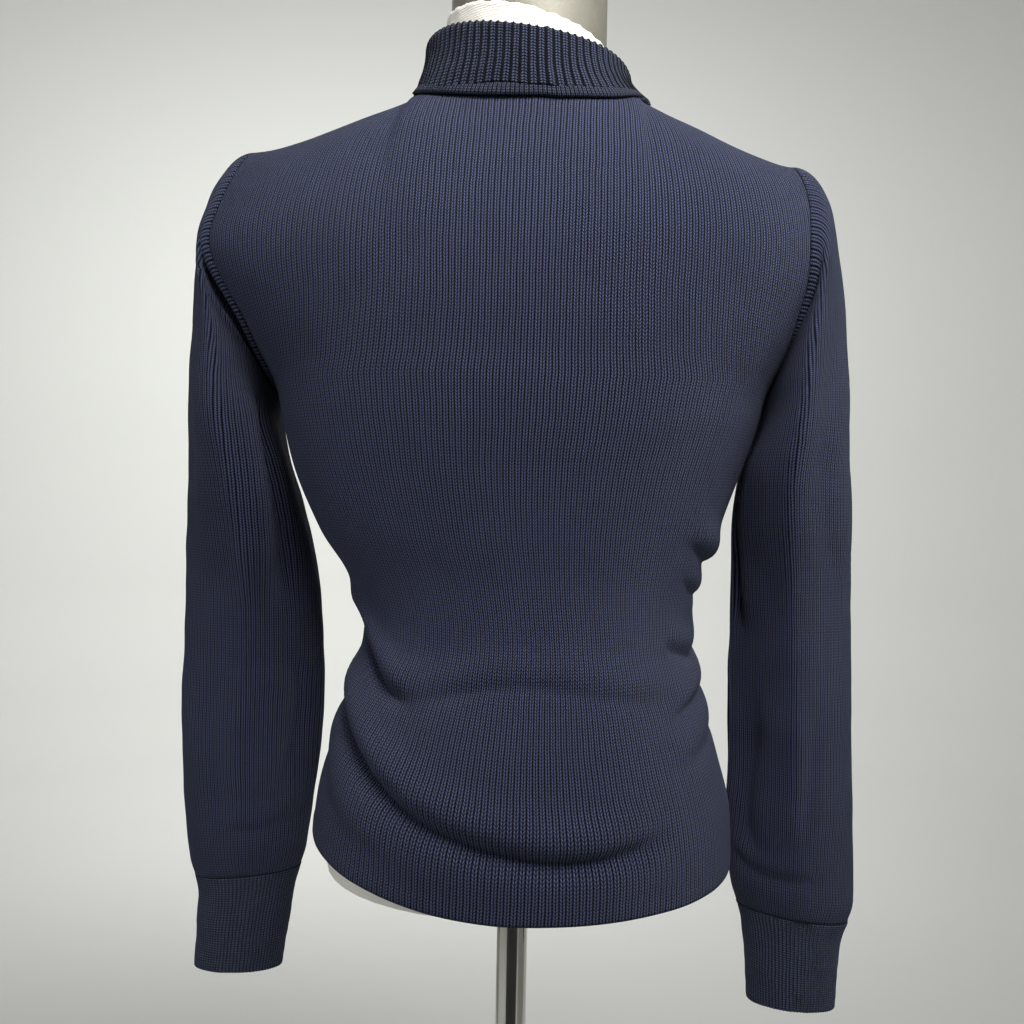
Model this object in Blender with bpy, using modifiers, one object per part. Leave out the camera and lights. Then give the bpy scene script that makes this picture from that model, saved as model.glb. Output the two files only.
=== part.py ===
"""A fitted turtleneck sweater on a limbless dress form.

Metres, +Z up, floor at z = 0, the pole on the Z axis. The back of the garment faces -Y and its
right side is at +X. Each cut piece of cloth is one wall: a grid of points placed by a function of
its row and column, which then gets its thickness outwards. Sleeves, cuffs and collar start from the
points of the piece that they are sewn to, so every seam keeps the same narrow gap.
"""

import math
from collections import namedtuple

import bmesh
import bpy
from mathutils import Vector

# Driving dimensions
CLOTH = 0.002
SEAM_GAP = 0.0005
CUFF_GAP = 0.0008
FORM_CLEARANCE = 0.0025
SHOULDER_CLEARANCE = 0.0006
HEM_HEIGHT = 0.679
UNDERARM_HEIGHT = 1.005
BLADE_HEIGHT = 1.085
SHOULDER_HEIGHT = 1.172
SHOULDER_HALF_WIDTH = 0.1935
NECK_HEIGHT = 1.212
NECK_HALF_WIDTH = 0.078
BACK_NECK_DEPTH = 0.063
BACK_NECK_DROP = 0.022
FRONT_NECK_DEPTH = 0.068
FRONT_NECK_DROP = 0.062

RIB_CLOTH = 0.003
COLLAR_TOP = 1.238
COLLAR_TOP_TILT = 0.010
COLLAR_TOP_HALF_WIDTH = 0.0640
COLLAR_TOP_HALF_DEPTH = 0.0600
COLLAR_FALL_GAP = 0.003
COLLAR_FLARE = 0.0030
COLLAR_FRONT_DROP = 0.006
COLLAR_FOOT_LIFT = 0.0025
COLLAR_RIBS = 64
RIB_HEIGHT = 0.0009

CUFF_TOP = 0.648
CUFF_BOTTOM = 0.572
CUFF_RIBS = 36
CUFF_RIB_HEIGHT = 0.0005
CUFF_SLANT = 0.010
SLANT_START = 0.760

FORM_BOTTOM = 0.6765
FORM_NECK_RADIUS = 0.0560
FORM_NECK_TOP = 1.232
NECK_COLUMN_LOW = 1.222
CAP_RADIUS = 0.0555
CAP_HEIGHT = 0.076
CAP_EDGE = 0.006
POLE_RADIUS = 0.011
BASE_RADIUS = 0.170
BASE_THICKNESS = 0.012
BOSS_RADIUS = 0.020
BOSS_HEIGHT = 0.045
STAND_GAP = 0.0003

# How a sleeve leaves the armhole: handle lengths of its curve, outwards and from below, as a least
# length and a share of the drop to the first level section
CAP_OUT_LEAST = 0.011
CAP_OUT_SHARE = 0.09
CAP_DOWN_LEAST = 0.006
CAP_DOWN_SHARE = 0.45

# Grid sizes: rows up to the underarm, rows above it, columns across each panel
BODY_ROWS = 20
YOKE_ROWS = 11
NECK_COLUMNS = 4
SHOULDER_COLUMNS = 8
PANEL_COLUMNS = 2 * (NECK_COLUMNS + SHOULDER_COLUMNS)
SQUARENESS = 2.25
SLEEVE_COLUMNS = 2 * YOKE_ROWS
CAP_ROWS = 8
SLEEVE_ROWS = 11
TURNING_STEPS = 24

# Level sections of the body. Above the underarm the half width is the one that the section would
# have if the armhole didn't end it, at edge_turn degrees from the middle of the panel. The eases
# are the room between cloth and form where the cloth hangs free.
Torso = namedtuple("Torso", "height middle half_width back front edge_turn back_ease front_ease")
TORSO = (
    Torso(0.660, 0.0045, 0.144, 0.132, 0.106, 90, 0.006, 0.006),
    Torso(0.720, 0.0060, 0.142, 0.131, 0.105, 90, 0.009, 0.007),
    Torso(0.765, 0.0055, 0.131, 0.118, 0.101, 90, 0.012, 0.008),
    Torso(0.800, 0.0065, 0.121, 0.101, 0.097, 90, 0.012, 0.008),
    Torso(0.835, 0.0070, 0.113, 0.088, 0.095, 90, 0.008, 0.006),
    Torso(0.870, 0.0030, 0.1195, 0.083, 0.099, 90, 0.005, 0.003),
    Torso(0.905, -0.0015, 0.1375, 0.087, 0.108, 90, 0.002, 0.001),
    Torso(0.945, -0.0035, 0.154, 0.094, 0.120, 90, 0.001, 0.000),
    Torso(0.980, -0.0025, 0.165, 0.100, 0.125, 90, 0.000, 0.000),
    Torso(UNDERARM_HEIGHT, -0.0020, 0.171, 0.103, 0.123, 90, 0.000, 0.000),
    Torso(1.020, -0.0010, 0.179, 0.104, 0.119, 81, 0.000, 0.000),
    Torso(1.045, 0.0000, 0.196, 0.106, 0.111, 70, 0.000, 0.000),
    Torso(1.075, 0.0000, 0.219, 0.105, 0.100, 63, 0.000, 0.000),
    Torso(1.100, 0.0000, 0.229, 0.103, 0.094, 60, 0.000, 0.000),
    Torso(1.130, 0.0000, 0.229, 0.101, 0.091, 60, 0.000, 0.000),
    Torso(SHOULDER_HEIGHT, 0.0000, 0.220, 0.100, 0.088, 60, 0.000, 0.000),
)

# The hanging sleeve: level sections, inner and outer edge from the middle plane of the body.
# The crease is the soft fold down its back edge, at a share of the width from the inner edge.
Sleeve = namedtuple("Sleeve", "height left_inner left_outer right_inner right_outer back front crease_at crease")
SLEEVE = (
    Sleeve(0.985, 0.186, 0.245, 0.170, 0.227, -0.050, 0.070, 0.30, 0.006),
    Sleeve(0.940, 0.174, 0.247, 0.157, 0.231, -0.036, 0.068, 0.33, 0.005),
    Sleeve(0.880, 0.159, 0.254, 0.155, 0.236, -0.012, 0.064, 0.40, 0.003),
    Sleeve(0.820, 0.153, 0.256, 0.155, 0.238, -0.002, 0.061, 0.45, 0.001),
    Sleeve(0.755, 0.153, 0.256, 0.155, 0.240, 0.002, 0.059, 0.50, 0.000),
    Sleeve(0.700, 0.157, 0.253, 0.156, 0.242, 0.004, 0.056, 0.50, 0.000),
    Sleeve(0.662, 0.163, 0.249, 0.160, 0.243, 0.008, 0.052, 0.50, 0.000),
    Sleeve(CUFF_TOP, 0.167, 0.244, 0.164, 0.239, 0.011, 0.049, 0.50, 0.000),
)
Cuff = namedtuple("Cuff", "height left_inner left_outer right_inner right_outer back front")
CUFF = (
    Cuff(CUFF_TOP, 0.167, 0.244, 0.164, 0.239, 0.011, 0.049),
    Cuff(0.634, 0.171, 0.241, 0.168, 0.235, 0.013, 0.047),
    Cuff(0.605, 0.176, 0.242, 0.171, 0.232, 0.014, 0.047),
    Cuff(CUFF_BOTTOM, 0.180, 0.244, 0.172, 0.231, 0.015, 0.046),
)
# How each side differs: forward shift of the sleeve, rise of the shoulder point, of the neck point
# and of the hem at the side seam, how the shoulder seam curves, how much narrower the shoulder is,
# and how far the cuff seam drops
Side = namedtuple(
    "Side", "name sign forward shoulder_rise neck_rise hem_rise shoulder_curve narrowing cuff_drop"
)
LEFT = Side("left", -1, 0.002, 0.003, 0.000, 0.023, 1.70, 0.00, 0.004)
RIGHT = Side("right", 1, -0.002, -0.011, -0.004, 0.006, 1.60, 0.07, 0.014)

# The largest folds, each a bent trough with a ridge over it. Ends and middle of its line are the
# degrees round the body, 0 at the middle of the back and 90 at the right side, and the height.
Fold = namedtuple("Fold", "start middle end depth width ridge")
FOLDS = (
    Fold((-104, 0.802), (-48, 0.690), (48, 0.722), 0.0060, 0.011, 0.0050),
    Fold((-98, 0.852), (-76, 0.795), (-24, 0.797), 0.0050, 0.009, 0.0040),
    Fold((-30, 0.800), (5, 0.814), (70, 0.790), 0.0020, 0.012, 0.0020),
    Fold((100, 0.812), (84, 0.806), (62, 0.806), 0.0030, 0.007, 0.0030),
    Fold((98, 0.838), (80, 0.820), (50, 0.831), 0.0025, 0.007, 0.0030),
    Fold((104, 0.874), (88, 0.866), (70, 0.872), 0.0020, 0.007, 0.0020),
    Fold((-250, 0.812), (-205, 0.764), (-150, 0.786), 0.0035, 0.010, 0.0035),
    Fold((-215, 0.842), (-170, 0.806), (-112, 0.838), 0.0030, 0.009, 0.0030),
    Fold((-246, 0.762), (-190, 0.712), (-118, 0.740), 0.0045, 0.011, 0.0040),
)
METRES_PER_DEGREE = 0.0020

COLLECTION_NAME = "turtleneck_sweater"
NAVY = (0.030, 0.036, 0.075, 1.0)
MATERIALS = {
    "knit": (NAVY, 0.92, 0.0),
    "rib_knit": ((0.026, 0.031, 0.066, 1.0), 0.92, 0.0),
    "form_jersey": ((0.80, 0.77, 0.70, 1.0), 0.85, 0.0),
    "cap_metal": ((0.24, 0.23, 0.18, 1.0), 0.45, 0.6),
    "pole_steel": ((0.55, 0.54, 0.50, 1.0), 0.25, 1.0),
    "base_paint": ((0.20, 0.20, 0.19, 1.0), 0.45, 0.3),
}


def mix(first, second, share):
    return first + (second - first) * share


def smooth(share):
    share = min(max(share, 0.0), 1.0)
    return share * share * (3 - 2 * share)


def bell(distance, width):
    return math.exp(-((distance / width) ** 2))


def table_value(rows, column, height):
    """The smooth curve through one column of a table whose rows are sorted by height."""
    if rows[0].height > rows[-1].height:
        rows = rows[::-1]
    heights = [row.height for row in rows]
    values = [getattr(row, column) for row in rows]
    if height <= heights[0]:
        return values[0]
    if height >= heights[-1]:
        return values[-1]
    i = max(k for k, known in enumerate(heights) if known <= height)
    slopes = []
    for k in (i, i + 1):
        low, high = max(k - 1, 0), min(k + 1, len(rows) - 1)
        slopes.append((values[high] - values[low]) / (heights[high] - heights[low]))
    step = heights[i + 1] - heights[i]
    t = (height - heights[i]) / step
    rest = 1 - t
    return (
        values[i] * rest * rest * (1 + 2 * t)
        + values[i + 1] * t * t * (3 - 2 * t)
        + slopes[0] * step * t * rest * rest
        - slopes[1] * step * t * t * rest
    )


def side_of(x):
    return LEFT if x < 0 else RIGHT


def neckline_curve(x, total, power):
    """The neckline between the neck points, where total is its reach at the middle."""
    return total * max(0.0, 1 - (x / NECK_HALF_WIDTH) ** 2) ** power


def shoulder_point_height(x):
    return SHOULDER_HEIGHT + side_of(x).shoulder_rise


def top_height(x, neck_drop):
    """The top edge of a panel: neckline between the neck points, shoulder seam outside them."""
    neck_height = NECK_HEIGHT + side_of(x).neck_rise * min(1.0, (x / NECK_HALF_WIDTH) ** 2)
    if abs(x) <= NECK_HALF_WIDTH:
        return neck_height - neckline_curve(x, neck_drop, 0.75)
    share = (abs(x) - NECK_HALF_WIDTH) / (SHOULDER_HALF_WIDTH - NECK_HALF_WIDTH)
    left = max(0.0, 1 - share) ** side_of(x).shoulder_curve
    return mix(shoulder_point_height(x), neck_height, left)


Panel = namedtuple("Panel", "column sign neck_depth neck_drop")
BACK = Panel("back", -1, BACK_NECK_DEPTH, BACK_NECK_DROP)
FRONT = Panel("front", 1, FRONT_NECK_DEPTH, FRONT_NECK_DROP)
TOP = TORSO[-1]
NECK_TURN = math.asin((NECK_HALF_WIDTH / TOP.half_width) ** (SQUARENESS / 2)) * 90 / TOP.edge_turn


def column_turn(column):
    """The angle of a column from the middle one: one column each side ends at the neck point."""
    from_middle = column - PANEL_COLUMNS // 2
    if abs(from_middle) <= NECK_COLUMNS:
        return NECK_TURN * from_middle / NECK_COLUMNS
    past_neck = (abs(from_middle) - NECK_COLUMNS) / SHOULDER_COLUMNS
    return math.copysign(mix(NECK_TURN, math.radians(90), past_neck), from_middle)


def section_shares(turn, edge_turn):
    """Shares of the half width and of the depth that a section reaches at this turn."""
    turn = turn * edge_turn / 90
    across = math.copysign(abs(math.sin(turn)) ** (2 / SQUARENESS), turn)
    return across, max(0.0, math.cos(turn)) ** (2 / SQUARENESS)


def panel_point(panel, column, row, ease_share):
    """A point of a panel's inner face, or of the form under it where ease_share is 1."""
    turn = column_turn(column)
    seam = Vector((0, panel.sign * SEAM_GAP / 2 * (1 - ease_share), 0))
    if row <= BODY_ROWS:
        across, bulge = section_shares(turn, 90)
        hem = mix(HEM_HEIGHT + side_of(turn).hem_rise * abs(across) ** 1.6, FORM_BOTTOM, ease_share)
        height = mix(hem, UNDERARM_HEIGHT, row / BODY_ROWS)
        ease = ease_share * max(0.0, table_value(TORSO, panel.column + "_ease", height))
        half_width = table_value(TORSO, "half_width", height) - ease
        depth = (table_value(TORSO, panel.column, height) - ease) * bulge
        middle = table_value(TORSO, "middle", height)
        return Vector((middle + half_width * across, panel.sign * depth, height)) + seam
    lift = (row - BODY_ROWS) / YOKE_ROWS
    lift = mix(lift, math.sin(math.radians(90) * lift), 0.55)
    edge_height = mix(UNDERARM_HEIGHT, shoulder_point_height(turn), lift)
    across, bulge = section_shares(turn, table_value(TORSO, "edge_turn", edge_height))
    top_x = TOP.half_width * section_shares(turn, TOP.edge_turn)[0]
    top = top_height(top_x, panel.neck_drop)
    height = mix(UNDERARM_HEIGHT, top, lift)
    depth = table_value(TORSO, panel.column, height) * bulge
    closing = max(0.0, (height - BLADE_HEIGHT) / (top - BLADE_HEIGHT))
    neck_share = smooth(1 - abs(top_x) / (1.7 * NECK_HALF_WIDTH))
    kept = max(0.0, 1 - closing**2) ** mix(0.5, 0.9, neck_share)
    depth = mix(neckline_curve(top_x, panel.neck_depth, 0.5), depth, kept)
    past_neck = max(0.0, (abs(turn) - NECK_TURN) / (math.radians(90) - NECK_TURN))
    narrowing = side_of(turn).narrowing * smooth(past_neck) * smooth(1.5 * lift)
    half_width = table_value(TORSO, "half_width", edge_height) * (1 - narrowing)
    middle = table_value(TORSO, "middle", edge_height)
    return Vector((middle + half_width * across, panel.sign * depth, height)) + seam


def degrees_round(panel, column):
    """The place of a column round the body, from the middle of the back over the right side."""
    turn = math.degrees(column_turn(column))
    return turn if panel is BACK else 180 - turn


def fold_offset(degrees, height):
    """How far the folds push a point of the cloth out."""
    offset = 0.0
    steps = 16
    for fold in FOLDS:
        nearest = None
        for i in range(steps + 1):
            t = i / steps
            line_turn = mix(mix(fold.start[0], fold.middle[0], t), mix(fold.middle[0], fold.end[0], t), t)
            line_z = mix(mix(fold.start[1], fold.middle[1], t), mix(fold.middle[1], fold.end[1], t), t)
            away = (degrees - line_turn + 180) % 360 - 180
            gap = math.hypot(away * METRES_PER_DEGREE, height - line_z)
            if nearest is None or gap < nearest[0]:
                nearest = (gap, t, height - line_z)
        gap, t, above = nearest
        strength = smooth(5 * (1 - t)) * smooth(5 * t + 0.2)
        offset -= strength * fold.depth * bell(gap, fold.width)
        if above > 0:
            offset += strength * fold.ridge * bell(gap - 2 * fold.width, 1.4 * fold.width)
    at_side_seam = bell(abs((degrees + 180) % 360 - 180) - 90, 10)
    return offset * (1 - 0.6 * at_side_seam)


def add_object(name, bm, material, thickness=0.0, smooth_angle=50):
    """The finished mesh as an object of the part's collection, a wall where it has a thickness."""
    mesh = bpy.data.meshes.new(name)
    bm.to_mesh(mesh)
    bm.free()
    mesh.shade_smooth()
    mesh.set_sharp_from_angle(angle=math.radians(smooth_angle))
    mesh.materials.append(bpy.data.materials[material])
    piece = bpy.data.objects.new(name, mesh)
    bpy.data.collections[COLLECTION_NAME].objects.link(piece)
    if thickness:
        wall = piece.modifiers.new("Wall", "SOLIDIFY")
        wall.thickness = thickness
        wall.offset = 1
        wall.use_even_offset = False
    return piece


def grid_mesh(columns, rows, place):
    """A grid of columns by rows whose points a function of column and row places."""
    bm = bmesh.new()
    bmesh.ops.create_grid(bm, x_segments=columns, y_segments=rows, size=1.0)
    for vertex in bm.verts:
        column = round((vertex.co.x + 1) / 2 * columns)
        row = round((vertex.co.y + 1) / 2 * rows)
        vertex.co = place(column, row)
    return bm


def tube_mesh(columns, rows, place):
    """A grid whose last column is joined to its first."""
    bm = grid_mesh(columns, rows, lambda column, row: place(column % columns, row))
    bmesh.ops.remove_doubles(bm, verts=bm.verts, dist=1e-6)
    return bm


def make_panel(panel):
    """The mesh of one body panel, still open: its smooth shape, then its folds pushed out."""
    bm = grid_mesh(PANEL_COLUMNS, BODY_ROWS + YOKE_ROWS, lambda column, row: (column, row, 0))
    places = {vertex: (round(vertex.co.x), round(vertex.co.y)) for vertex in bm.verts}
    for vertex, (column, row) in places.items():
        vertex.co = panel_point(panel, column, row, 0.0)
    if panel.sign > 0:
        bmesh.ops.reverse_faces(bm, faces=bm.faces)
    bm.normal_update()
    for vertex, (column, row) in places.items():
        vertex.co += vertex.normal * fold_offset(degrees_round(panel, column), vertex.co.z)
    bm.normal_update()
    return bm


def nearest_normal(bm, point):
    return min(bm.verts, key=lambda vertex: (vertex.co - point).length_squared).normal.copy()


def armhole_ring(side, back_mesh, front_mesh):
    """The sleeve's first ring: underarm, up the back edge, over the shoulder, down the front."""
    ring = []
    for column in range(SLEEVE_COLUMNS):
        on_back = column <= YOKE_ROWS
        panel, bm = (BACK, back_mesh) if on_back else (FRONT, front_mesh)
        row = BODY_ROWS + (column if on_back else SLEEVE_COLUMNS - column)
        edge_column = PANEL_COLUMNS if side.sign > 0 else 0
        point = panel_point(panel, edge_column, row, 0.0)
        outward = max(0.0, side.sign * nearest_normal(bm, point).x)
        if column % YOKE_ROWS == 0:
            point.y = 0.0
        ring.append(point + Vector((side.sign * (SEAM_GAP + CLOTH * outward), 0, 0)))
    return ring


def sleeve_section(side, rows, column_share, height):
    """A point of the hanging sleeve. The share runs inner, back, outer, front, as the armhole does."""
    turn = 2 * math.pi * column_share
    inner = table_value(rows, side.name + "_inner", height)
    outer = table_value(rows, side.name + "_outer", height)
    back = table_value(rows, "back", height) + side.forward
    front = table_value(rows, "front", height) + side.forward
    x = (inner + outer) / 2 - (outer - inner) / 2 * math.cos(turn)
    y = (back + front) / 2 - (front - back) / 2 * math.sin(turn)
    if rows is SLEEVE:
        toward_back = max(0.0, math.sin(turn))
        crease_at = table_value(rows, "crease_at", height)
        x += (outer - inner) * (crease_at - 0.5) * toward_back**1.5
        y -= table_value(rows, "crease", height) * toward_back**8
    drop = side.cuff_drop - CUFF_SLANT / 2 * math.cos(turn)
    near_seam = smooth((SLANT_START - height) / (SLANT_START - CUFF_TOP))
    if rows is CUFF:
        near_seam = mix(0.3, 1.0, (height - CUFF_BOTTOM) / (CUFF_TOP - CUFF_BOTTOM))
    return Vector((side.sign * x, y, height - drop * near_seam))


def make_sleeve(side, back_mesh, front_mesh):
    """A set-in sleeve: its cap bends from the armhole into the hanging tube."""
    ring = armhole_ring(side, back_mesh, front_mesh)
    cap_bottom = SLEEVE[0].height

    def place(column, row):
        share = column / SLEEVE_COLUMNS
        if row > CAP_ROWS:
            t = (row - CAP_ROWS) / SLEEVE_ROWS
            low = CUFF_TOP + CUFF_GAP
            return sleeve_section(side, SLEEVE, share, mix(cap_bottom, low, t))
        t = row / CAP_ROWS
        start = ring[column]
        end = sleeve_section(side, SLEEVE, share, cap_bottom)
        drop = start.z - end.z
        over = (CAP_OUT_LEAST + CAP_OUT_SHARE * drop) * Vector((side.sign, 0, 0))
        down = Vector((0, 0, CAP_DOWN_LEAST + CAP_DOWN_SHARE * drop))
        rest = 1 - t
        return (
            start * rest**3
            + (start + over) * 3 * t * rest**2
            + (end + down) * 3 * t**2 * rest
            + end * t**3
        )

    bm = tube_mesh(SLEEVE_COLUMNS, CAP_ROWS + SLEEVE_ROWS, place)
    point_faces_out(bm, lambda face: mid_of_sleeve(side, face))
    return add_object(side.name + "_sleeve", bm, "knit", CLOTH)


def mid_of_sleeve(side, face):
    height = min(face.calc_center_median().z, SLEEVE[0].height)
    middle = [sleeve_section(side, SLEEVE, share, height) for share in (0.0, 0.25, 0.5, 0.75)]
    return sum(middle, Vector()) / 4


def point_faces_out(bm, middle_of):
    """Turns the mesh round if most of its lower faces point to their own middle."""
    low = min(bm.faces, key=lambda face: face.calc_center_median().z)
    bm.normal_update()
    if low.normal.dot(low.calc_center_median() - middle_of(low)) < 0:
        bmesh.ops.reverse_faces(bm, faces=bm.faces)
    bm.normal_update()


def add_rings(bm, columns, rings, place):
    """Builds a band of rings in the mesh and returns its first and its last ring of points."""
    made = [[bm.verts.new(place(column, row)) for column in range(columns)] for row in range(rings)]
    for low, high in zip(made, made[1:]):
        for i in range(columns):
            j = (i + 1) % columns
            bm.faces.new((low[i], low[j], high[j], high[i]))
    return made[0], made[-1]


def join_rings(bm, fine, coarse):
    """Closes a wall's edge between a ring of ribs and a plain ring that has a fraction of its points."""
    step = len(fine) // len(coarse)
    for i, point in enumerate(coarse):
        after = coarse[(i + 1) % len(coarse)]
        first = i * step
        run = [fine[(first + k) % len(fine)] for k in range(step + 1)]
        middle = step // 2
        for k in range(middle):
            bm.faces.new((run[k], run[k + 1], point))
        bm.faces.new((run[middle], after, point))
        for k in range(middle, step):
            bm.faces.new((run[k], run[k + 1], after))


def make_cuff(side):
    """A ribbed cuff: ribs stand on its outer points, the inside is plain."""
    heights = [row.height for row in CUFF]
    plain_columns = CUFF_RIBS // 2

    def outer_point(column, row):
        share = column / (2 * CUFF_RIBS)
        point = sleeve_section(side, CUFF, share, heights[row])
        middle = mix(
            sleeve_section(side, CUFF, 0.0, heights[row]), sleeve_section(side, CUFF, 0.5, heights[row]), 0.5
        )
        outward = (point - middle).normalized()
        return point + outward * (CLOTH + CUFF_RIB_HEIGHT * (column % 2))

    def inner_point(column, row):
        height = (heights[0], heights[-1])[row]
        return sleeve_section(side, CUFF, column / plain_columns, height)

    bm = bmesh.new()
    outer = add_rings(bm, 2 * CUFF_RIBS, len(heights), outer_point)
    inner = add_rings(bm, plain_columns, 2, inner_point)
    for outer_ring, inner_ring in zip(outer, inner):
        join_rings(bm, outer_ring, inner_ring)
    bmesh.ops.recalc_face_normals(bm, faces=bm.faces)
    return add_object(side.name + "_cuff", bm, "rib_knit")


def neck_ring(turn):
    """The neck seam on the panels' inner edge. The turn runs from the middle back over the right."""
    panel = BACK if math.cos(turn) >= 0 else FRONT
    x = NECK_HALF_WIDTH * math.sin(turn)
    middle = PANEL_COLUMNS // 2
    columns = range(middle - NECK_COLUMNS, middle + NECK_COLUMNS + 1)
    edge = [panel_point(panel, column, BODY_ROWS + YOKE_ROWS, 0.0) for column in columns]
    for start, end in zip(edge, edge[1:]):
        if x <= end.x:
            break
    return start.lerp(end, min(1.0, max(0.0, (x - start.x) / (end.x - start.x))))


def shoulder_share(turn):
    """Near 1 where the shoulders rise beside the falling front neckline, so the collar lifts."""
    return bell(math.degrees(math.acos(math.cos(turn))) - 112, 38)


def collar_point(turn, rise, outward):
    """A point of the collar: rise runs from 0 at the neck seam to 1 at the fold."""
    seam = neck_ring(turn)
    top = Vector(
        (
            COLLAR_TOP_HALF_WIDTH * math.sin(turn),
            -COLLAR_TOP_HALF_DEPTH * math.cos(turn),
            COLLAR_TOP - COLLAR_TOP_TILT * math.sin(turn) - COLLAR_FRONT_DROP * (1 - math.cos(turn)),
        )
    )
    level = seam.lerp(top, 1 - (1 - rise) ** 3)
    level.z = mix(seam.z + COLLAR_FOOT_LIFT * (1 + 2 * shoulder_share(turn)), top.z, rise)
    away = Vector((math.sin(turn) / NECK_HALF_WIDTH, -math.cos(turn) / BACK_NECK_DEPTH, 0)).normalized()
    return level + away * outward


def fall_low(turn):
    """How far up the collar the edge of its fall lies."""
    return 0.16 + 0.18 * shoulder_share(turn)


def make_collar():
    """The folded collar: a stand rising from the neck seam, and its fall turned down outside."""
    fold_width = 2 * RIB_CLOTH + COLLAR_FALL_GAP
    fold_radius = fold_width / 2

    def stand(rise, outward):
        return lambda turn: collar_point(turn, rise, outward)

    def fold(angle, radius):
        across = fold_radius - radius * math.cos(math.radians(angle))
        under = Vector((0, 0, radius * math.sin(math.radians(angle)) - fold_radius))
        return lambda turn: collar_point(turn, 1.0, across) + under

    def fall(share, layer):
        def at(turn):
            rise = mix(fall_low(turn), 0.90, share)
            return collar_point(turn, rise, fold_width - layer + COLLAR_FLARE * (1 - share) ** 1.3)

        return at

    shown = [stand(0.0, 0.0), stand(0.5, 0.0), stand(0.88, 0.0)]
    shown += [fold(angle, fold_radius) for angle in (40, 90, 140)]
    shown += [fall(share, 0.0) for share in (0.96, 0.62, 0.32, 0.12, 0.0)]
    hidden = [stand(0.0, RIB_CLOTH), stand(0.5, RIB_CLOTH), stand(0.86, RIB_CLOTH)]
    hidden.append(fold(90, fold_radius - RIB_CLOTH))
    hidden += [fall(share, RIB_CLOTH) for share in (0.94, 0.32, 0.0)]
    stand_rows = 3
    fold_rows = 3

    def rib_point(column, row):
        turn = 2 * math.pi * column / (2 * COLLAR_RIBS)
        point = shown[row](turn)
        raised = RIB_HEIGHT * (column % 2)
        away = Vector((math.sin(turn), -math.cos(turn), 0))
        if row == 0:
            return point
        if row < stand_rows:
            return point - away * raised
        if row < stand_rows + fold_rows:
            return point + Vector((0, 0, raised))
        return point + away * raised

    def plain_point(column, row):
        return hidden[row](2 * math.pi * column / plain_columns)

    bm = bmesh.new()
    plain_columns = COLLAR_RIBS // 2
    outer = add_rings(bm, 2 * COLLAR_RIBS, len(shown), rib_point)
    inner = add_rings(bm, plain_columns, len(hidden), plain_point)
    for outer_ring, inner_ring in zip(outer, inner):
        join_rings(bm, outer_ring, inner_ring)
    bmesh.ops.recalc_face_normals(bm, faces=bm.faces)
    return add_object("collar", bm, "rib_knit")


def form_clearance(point):
    """The room between form and cloth, least on the middle of each shoulder, which carries it."""
    crest = bell(point.y, 0.030) * bell(abs(point.x) - 0.135, 0.040) * (point.z > BLADE_HEIGHT)
    return mix(FORM_CLEARANCE, SHOULDER_CLEARANCE, crest)


def make_form():
    """The smooth torso inside the cloth: both panels' shape drawn in, armhole plates, neck."""
    bm = bmesh.new()
    rows = []
    body_rows = range(0, BODY_ROWS, 2)
    yoke_rows = range(BODY_ROWS, BODY_ROWS + YOKE_ROWS + 1)
    for row in [*body_rows, *yoke_rows]:
        back = [panel_point(BACK, column, row, 1.0) for column in range(PANEL_COLUMNS + 1)]
        front = [panel_point(FRONT, column, row, 1.0) for column in range(PANEL_COLUMNS, -1, -1)]
        rows.append([bm.verts.new(point) for point in back + front])
    count = len(rows[0])
    for low, high in zip(rows, rows[1:]):
        for i in range(count):
            j = (i + 1) % count
            bm.faces.new((low[i], low[j], high[j], high[i]))
    bmesh.ops.remove_doubles(bm, verts=bm.verts, dist=0.00002)
    bottom = [vertex for vertex in bm.verts if vertex.co.z < FORM_BOTTOM + STAND_GAP]
    bm.normal_update()
    moves = {vertex: vertex.normal * form_clearance(vertex.co) for vertex in bm.verts}
    for vertex, move in moves.items():
        vertex.co -= move
    for vertex in bottom:
        vertex.co.z = FORM_BOTTOM
    neck_edges = [edge for edge in bm.edges if edge.is_boundary and edge.verts[0].co.z > BLADE_HEIGHT]
    neck_low = {}
    for rise, narrowing in ((0.25, 0.60), (0.60, 0.92), (1.0, 1.0)):
        grown = bmesh.ops.extrude_edge_only(bm, edges=neck_edges)["geom"]
        points = [item for item in grown if isinstance(item, bmesh.types.BMVert)]
        for vertex in points:
            flat = Vector((vertex.co.x, vertex.co.y, 0))
            seam_height, seam_radius = neck_low.get(vertex.co[:2], (vertex.co.z, flat.length))
            radius = mix(seam_radius, FORM_NECK_RADIUS, narrowing)
            vertex.co = flat.normalized() * radius
            vertex.co.z = mix(seam_height, NECK_COLUMN_LOW, rise)
            neck_low[vertex.co[:2]] = (seam_height, seam_radius)
        neck_edges = [item for item in grown if isinstance(item, bmesh.types.BMEdge)]
    grown = bmesh.ops.extrude_edge_only(bm, edges=neck_edges)["geom"]
    for vertex in [item for item in grown if isinstance(item, bmesh.types.BMVert)]:
        vertex.co.z = FORM_NECK_TOP
    bmesh.ops.holes_fill(bm, edges=bm.edges, sides=0)
    bmesh.ops.recalc_face_normals(bm, faces=bm.faces)
    return add_object("dress_form", bm, "form_jersey", smooth_angle=60)


def turned(name, profile, material):
    """A solid turned about the Z axis from its outline, which runs down its outer side."""
    mesh = bpy.data.meshes.new(name)
    edges = [(i, i + 1) for i in range(len(profile) - 1)]
    mesh.from_pydata([(radius, 0, height) for radius, height in profile], edges, [])
    mesh.materials.append(bpy.data.materials[material])
    piece = bpy.data.objects.new(name, mesh)
    bpy.data.collections[COLLECTION_NAME].objects.link(piece)
    screw = piece.modifiers.new("Turn", "SCREW")
    screw.steps = TURNING_STEPS
    screw.render_steps = TURNING_STEPS
    screw.use_merge_vertices = True
    screw.merge_threshold = 0.00001
    screw.use_smooth_shade = True
    return piece


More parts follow.
